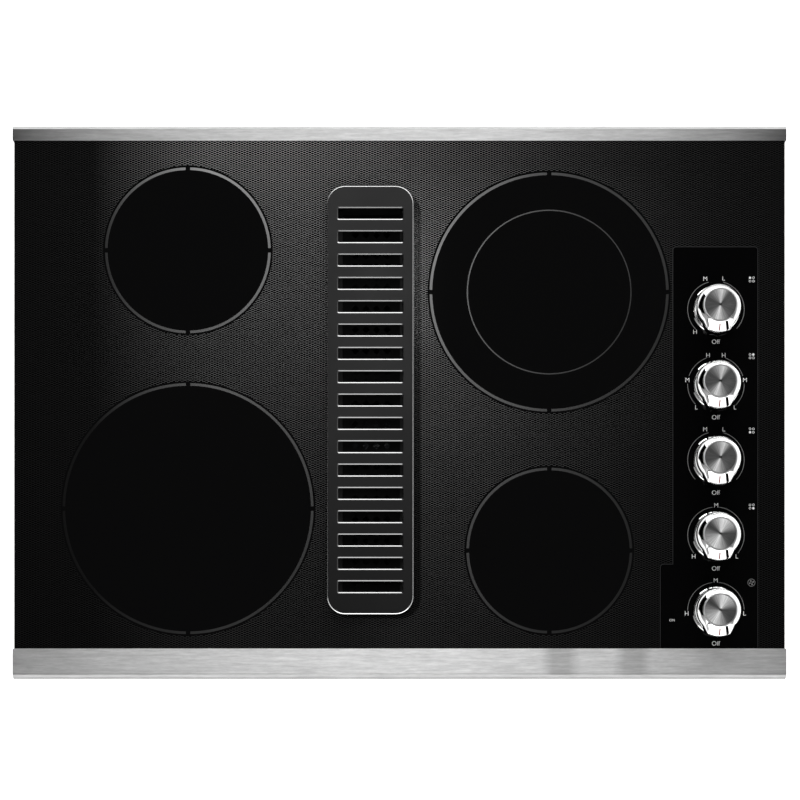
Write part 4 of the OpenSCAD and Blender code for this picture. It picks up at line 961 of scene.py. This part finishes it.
def knob_shell(name, height):
    """The polished body: a teardrop skirt, a sloping shoulder and a thin rim round the cap."""
    profile = [  # share of the pointer, radius and level
        (1, KNOB_R - 3.0 * MM, 0.0), (1, KNOB_R - 0.5 * MM, 0.0), (1, KNOB_R, 0.5 * MM),
        (1, KNOB_R, SKIRT_H * 0.5), (1, KNOB_R, SKIRT_H - 0.2 * MM),
        (1, KNOB_R - 0.12 * MM, SKIRT_H + 0.25 * MM), (0.97, KNOB_R - 0.45 * MM, SKIRT_H + 0.6 * MM),
        (0.66, KNOB_R - 1.88 * MM, SKIRT_H + 2.25 * MM), (0.35, KNOB_R - 3.31 * MM, SKIRT_H + 3.49 * MM),
        (0.03, TOP_R + 0.35 * MM, SKIRT_H + 4.42 * MM), (0.0, TOP_R + 0.08 * MM, SKIRT_H + 4.6 * MM),
        (0.0, TOP_R, SKIRT_H + 4.9 * MM), (0.0, TOP_R, height - 0.45 * MM),
        (0.0, TOP_R - 0.2 * MM, height - 0.1 * MM), (0.0, TOP_R - 0.45 * MM, height),
        (0.0, RECESS_R + 0.1 * MM, height), (0.0, RECESS_R, height - 0.2 * MM),
        (0.0, RECESS_R, height - 1.2 * MM),
    ]
    bm = bmesh.new()
    angles = turn_angles(144)
    rings = [knob_ring(bm, share, r, z, angles) for share, r, z in profile]
    return closed_stack(name, bm, rings, 25)


# The grip slopes from the cap's edge down to the pointer's end
TAB_INNER = 14.2 * MM
TAB_FLARE = 3.0 * MM
TAB_REACH = 26.1 * MM
TAB_HIGH = 0.6 * MM
TAB_FALL = 6.4 * MM
TAB_SIDE = 0.3 * MM
TAB_FOOT = 1 * MM
TAB_EDGES = ((0.0, 0.5 * MM), (0.15 * MM, 0.15 * MM), (0.5 * MM, 0.0))  # inset, and depth below the slope


def tab_level(height, y):
    """Level of the grip's top at a distance in front of the knob's centre."""
    return height - TAB_HIGH - TAB_FALL * (y - TAB_INNER) / (TAB_REACH - TAB_INNER)


def pointer_tab(name, height):
    """The raised grip from the cap's edge to the pointer's end."""
    steps = 12
    bm = bmesh.new()
    rings = []
    for inset, drop in ((0.0, None), *TAB_EDGES):
        half, far = POINTER_W / 2 - TAB_SIDE - inset, TAB_REACH - inset
        spread = math.asin(half / far)
        turns = [spread * (2 * k / steps - 1) for k in range(steps + 1)]
        outline = [(far * math.sin(a), far * math.cos(a)) for a in turns]
        outline += [(half + TAB_FLARE, TAB_INNER), (-half - TAB_FLARE, TAB_INNER)]
        levels = [TAB_FOOT if drop is None else tab_level(height, y) - drop for x, y in outline]
        rings.append([bm.verts.new((x, -y, z)) for (x, y), z in zip(outline, levels)])
    return closed_stack(name, bm, rings, 35)


# The red line on the grip: its half width, its two ends, and its levels below and above the slope
LINE_HALF = 0.65 * MM
LINE_ENDS = (18.8 * MM, 25.2 * MM)
LINE_LEVELS = (-0.2 * MM, 0.06 * MM)


def pointer_line(name, height):
    """The thin red line on the grip."""
    bm = bmesh.new()
    low, high = LINE_LEVELS
    rows = []
    for y in LINE_ENDS:
        z = tab_level(height, y)
        rows.append([bm.verts.new((x, -y, z + lift)) for x, lift in
                     ((-LINE_HALF, low), (LINE_HALF, low), (LINE_HALF, high), (-LINE_HALF, high))])
    return closed_stack(name, bm, rows)


# A strip of painted shadow along the grip's right side, black where there is only shade: its corners, in
# millimetres right and in front of the knob's centre, and its levels below and above the slope
GRIP_SHADE_CORNERS = ((5.2, 16.2), (7.9, 16.2), (9.5, 23.6), (7.0, 25.3))
GRIP_SHADE_LEVELS = (-0.2 * MM, 0.05 * MM)


def paint_grip_shadow(name, height):
    """A black strip of painted shadow along the grip's right side."""
    bm = bmesh.new()
    rows = [[bm.verts.new((x * MM, -y * MM, tab_level(height, y * MM) + lift)) for x, y in GRIP_SHADE_CORNERS]
            for lift in GRIP_SHADE_LEVELS]
    return closed_stack(name, bm, rows)


# The spun cap from its hidden edge to its dimple: radius, and level from the knob's top, in millimetres
CAP_PROFILE = ((15.6, -1.1), (15.6, -0.45), (15.35, -0.15), (1.0, -0.15), (0.7, -0.4), (0.2, -0.5))


def knob_cap(name, z):
    """The spun metal disc, with a turned dimple at its middle."""
    bm = bmesh.new()
    angles = turn_angles(96)
    rings = [[bm.verts.new((r * MM * math.cos(a), r * MM * math.sin(a), z + h * MM)) for a in angles]
             for r, h in CAP_PROFILE]
    return closed_stack(name, bm, rings, 40)


# How far each spun cap is turned, in degrees
CAP_TURN = (6, 0, -4, 0, -3)


def knob(i):
    """A knob's shell with its grip, the red line, the black strip of painted shadow beside the grip and the
    spun cap.
    """
    low, high = KNOB_BOXES[i]
    at = Vector((KNOB_AT[i].x, KNOB_AT[i].y, low.z))
    height = high.z - low.z
    body = f"knob_{i + 1}_body"
    shell = knob_shell(f"knob_shell_{i}", height)
    tab = pointer_tab(f"knob_tab_{i}", height)
    shell.data.materials.append(CHROME)
    shell.data.materials.append(SATIN_RIM)
    for polygon in shell.data.polygons:
        polygon.material_index = int(polygon.center.z > SATIN_H)
    tab.data.materials.append(CHROME)
    handle = joined(f"knob_handle_{i + 1}", [shell, tab])
    line = pointer_line(f"knob_line_{i + 1}", height)
    grip_shade_strip = paint_grip_shadow(f"knob_grip_shade_{i + 1}", height)
    cap = knob_cap(f"knob_face_{i + 1}", height)
    cap.rotation_euler.z = math.radians(CAP_TURN[i])
    for piece in (handle, line, grip_shade_strip, cap):
        piece.location = at
    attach(handle, body)
    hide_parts(f"knob_{i + 1}")
    finish_piece(line, body, RED_PRINT)
    finish_piece(grip_shade_strip, body, SHADOW_PAINT_BLACK)
    finish_piece(cap, body, SPUN[i], stands_for=(f"knob_cap_{i + 1}",))


# Finish of the CAD pieces that stay
def dress(material, *names):
    for name in names:
        piece = NODES[name]
        if not piece.material_slots:
            piece.data.materials.append(material)
        for slot in piece.material_slots:
            slot.material = material


def dress_cad():
    dress(BLACK_GLASS, "glass_top")
    dress(FRONT_STEEL, "front_trim")
    dress(REAR_STEEL, "rear_trim")
    dress(painted("foam_seal", (0.03, 0.03, 0.03), 0.9, 900.0, 0.1 * MM), "countertop_seal")
    dress(painted("silicone", (0.05, 0.05, 0.052), 0.4), "glass_seal")
    dress(sheet_metal("aluminised", (0.3, 0.305, 0.305)), "burner_box")
    dress(sheet_metal("bracket_zinc", (0.25, 0.255, 0.26), 0.4, 110.0),
          "control_bracket", "junction_cover", "element_rails")
    dress(CHROME, "knob_bezels")
    dress(painted("lamp_lens", (0.35, 0.03, 0.015), 0.15, 300.0, 0.0), "indicator_lamps")
    dress(painted("cream_plastic", (0.62, 0.6, 0.52), 0.5), "terminal_block")
    zinc = brushed("zinc_plate", (0.34, 0.345, 0.355), "z", 0.34, 0.1)
    dress(zinc, "clamp_brackets", "clamp_screw_left", "clamp_screw_right", "screws")
    spring = brushed("spring_steel", (0.22, 0.24, 0.3), "x", 0.3, 0.15)
    dress(spring, "element_springs", *(f"spring_seat_{i}" for i in range(1, 5)))
    dress(sheet_metal("pan_sheet", (0.66, 0.66, 0.65), 0.36, 40.0, 0.08),
          "element_pan_small", "element_pan_large", "element_pan_dual")
    dress(fibre_material(), "element_insulation")
    dress(ribbon_material(), "heater_small", "heater_large", "heater_dual")
    dress(painted("limiter_ceramic", (0.8, 0.78, 0.72), 0.3, 500.0), "limiter_rods")
    dress(painted("switch_plastic", (0.025, 0.025, 0.027), 0.5), "heat_switches", "fan_switch")
    dress(brushed("mill_aluminium", (0.42, 0.425, 0.43), "y", 0.4, 0.1), "damper_flap")
    dress(painted("filter_frame_coat", (0.012, 0.012, 0.012), 0.75), "filter_frame")
    # The filter mesh and the chamber under the slots are painted near black, as painted shade inside the
    # slots.
    dress(painted("filter_mesh_painted_shade", (0.003, 0.003, 0.003), 0.85, contrast=0.4, gloss=0.2), "filter_mesh")
    dress(painted("chamber_painted_shade", (0.012, 0.012, 0.0125), 0.7), "plenum")
    dress(sheet_metal("collar_zinc", (0.27, 0.275, 0.28), 0.38, 60.0), "duct_collar")
    dress(painted("socket_plastic", (0.02, 0.02, 0.021), 0.45), "jar_socket")
    dress(smoked_plastic(), "overflow_jar")
    dress(painted("blower_coat", (0.055, 0.058, 0.062), 0.42, 1700.0, 0.03 * MM),
          "blower_scroll", "blower_cover")
    dress(brushed("wheel_metal", (0.6, 0.6, 0.61), "x", 0.35, 0.1), "impeller")
    dress(painted("motor_enamel", (0.018, 0.018, 0.019), 0.3, 1200.0), "motor_housing")
    ground = brushed("ground_steel", (0.66, 0.66, 0.66), "z", 0.22, 0.06)
    dress(ground, "motor_rotor", "motor_bearings", *(f"shaft_{i}" for i in range(1, 6)))


# Studio: a pale floor and backdrop that glow, a surround that is bright low down, and three lights
FLOOR_SIZE = 9.0
FLOOR_DROP = 0.5 * MM
FLOOR_Z = CAD_BOX[0].z - FLOOR_DROP
FLOOR_GLOW = 0.9
BACKDROP_R = 4.3
BACKDROP_CUT = -0.01


def make_stage(piece, material):
    piece.location.z = FLOOR_Z
    piece.data.materials.append(material)


def make_floor():
    bm = bmesh.new()
    bmesh.ops.create_grid(bm, x_segments=8, y_segments=8, size=FLOOR_SIZE / 2)
    m = Shading("floor_pale")
    m.put("Base Color", m.colours(m.noise(m.place(), 2.0, 2.0), (0.8, 0.8, 0.8), (0.84, 0.84, 0.84)))
    m.put("Roughness", 0.8)
    m.put("Emission Color", WHITE)
    m.put("Emission Strength", FLOOR_GLOW)
    make_stage(from_bmesh("floor", bm), m.material)


def make_backdrop():
    """A pale dome behind the part, which lights nothing and shows in no reflection."""
    bm = bmesh.new()
    bmesh.ops.create_uvsphere(bm, u_segments=64, v_segments=32, radius=BACKDROP_R)
    below = [v for v in bm.verts if v.co.z < BACKDROP_CUT]
    bmesh.ops.delete(bm, geom=below, context="VERTS")
    m = Shading("backdrop_pale")
    m.put("Base Color", BLACK)
    m.put("Specular IOR Level", 0.0)
    m.put("Emission Color", WHITE)
    m.put("Emission Strength", 1.0)
    dome = from_bmesh("backdrop", bm)
    dome.visible_diffuse = dome.visible_glossy = dome.visible_transmission = dome.visible_shadow = False
    make_stage(dome, m.material)


# Brightness of the surround: low down, between by compass direction, and overhead. The levels where one
# becomes the next are given by the sine of the height above the horizon.
LOW_BRIGHT = 1.3
LOW_TOP = (0.24, 0.3)
MIDDLE_REAR, MIDDLE_FRONT = 1.5, 0.9
MIDDLE_LEFT, MIDDLE_RIGHT = 0.25, 0.2
SIDE_SOFT = 0.7
LOBE_POWER = 3.0
HIGH_TOP = (0.66, 0.9)
OVERHEAD = 0.012
# A black gap in it at the left, towards the rear: its direction, how far it spreads to both sides (cosine),
# its lower edge there and in its middle, and how softly it begins
GAP_AT = math.radians(150)
GAP_EDGES = (0.55, 0.9)
GAP_LOW = (0.62, 0.06)
GAP_SOFT = 0.05
SMALL = 0.001  # keeps a division away from 0 straight overhead


def make_world():
    """Bright softboxes low down all round, and a dark ceiling that comes further down at the left."""
    world = bpy.data.worlds.new("studio")
    SCENE.world = world
    world.use_nodes = True
    sky = Nodes(world.node_tree)
    x, y, z = sky.parts(sky.made("ShaderNodeTexCoord").outputs["Generated"])
    across = sky.math("SQRT", sky.math("MULTIPLY_ADD", x, x, sky.math("MULTIPLY", y, y)))
    across = sky.math("MAXIMUM", across, SMALL)
    side = sky.math("DIVIDE", x, across)
    ahead = sky.math("DIVIDE", y, across)
    towards = sky.math("MULTIPLY_ADD", side, math.cos(GAP_AT), sky.math("MULTIPLY", ahead, math.sin(GAP_AT)))
    middle = sky.span(side, -SIDE_SOFT, SIDE_SOFT, MIDDLE_LEFT, MIDDLE_RIGHT)
    for value, end in ((MIDDLE_REAR, 1.0), (MIDDLE_FRONT, -1.0)):
        facing = sky.math("MAXIMUM", sky.math("MULTIPLY", ahead, end), 0.0)
        middle = sky.math("MULTIPLY_ADD", sky.math("POWER", facing, LOBE_POWER), value, middle)
    step = sky.span(z, *LOW_TOP)
    mixed = sky.math("MULTIPLY_ADD", sky.math("SUBTRACT", middle, LOW_BRIGHT), step, LOW_BRIGHT)
    above = sky.math("SUBTRACT", z, sky.span(towards, *GAP_EDGES, *GAP_LOW))
    beside = sky.span(towards, GAP_EDGES[0], GAP_EDGES[0] + GAP_SOFT)
    gap = sky.math("MULTIPLY", sky.span(above, 0.0, GAP_SOFT), beside)
    mixed = sky.math("MULTIPLY", mixed, sky.math("SUBTRACT", 1.0, gap))
    total = sky.math("MULTIPLY_ADD", sky.math("SUBTRACT", OVERHEAD, mixed), sky.span(z, *HIGH_TOP), mixed)
    background = sky.nodes["Background"]
    sky.feed(background.inputs["Color"], (*WHITE, 1))
    sky.feed(background.inputs["Strength"], total)


# Rectangular lights: place, target, size and power
LIGHTS = {
    "key": ((-0.022, 0.41, 1.42), (-0.03, 0.15, 0), (0.06, 0.2), 3.4),
    "front": ((0.3, -2.2, 1.2), (0.2, 0, 0), (4.2, 2.0), 28),
    "rear": ((0.1, 2.2, 1.0), (0, 0, 0), (3.2, 1.3), 36),
}


def make_lights():
    for name, (at, target, size, power) in LIGHTS.items():
        data = bpy.data.lights.new(name, "AREA")
        data.shape = "RECTANGLE"
        data.size, data.size_y = size
        data.energy = power
        light = bpy.data.objects.new(name, data)
        light.location = at
        light.rotation_mode = "QUATERNION"
        light.rotation_quaternion = (Vector(target) - Vector(at)).to_track_quat("-Z", "Y")
        SCENE.collection.objects.link(light)


make_camera()
for zone_name, zone in (("rear_left", REAR_LEFT), ("front_left", FRONT_LEFT),
                        ("front_right", FRONT_RIGHT), ("rear_right", REAR_RIGHT)):
    zone_print(zone_name, zone)
inner_ring()
panel()
for index in range(5):
    knob_marks(index)
    knob(index)
for index in range(4):
    locator_sign(index)
fan_sign()
on_glass(letters("on_word", "ON", 671.4, 619.7, ON_LETTER), BRIGHT_PRINT)
vent_grille()
dress_cad()
make_floor()
make_backdrop()
make_world()
make_lights()
SCENE.view_settings.view_transform = "Standard"
SCENE.view_settings.look = "None"
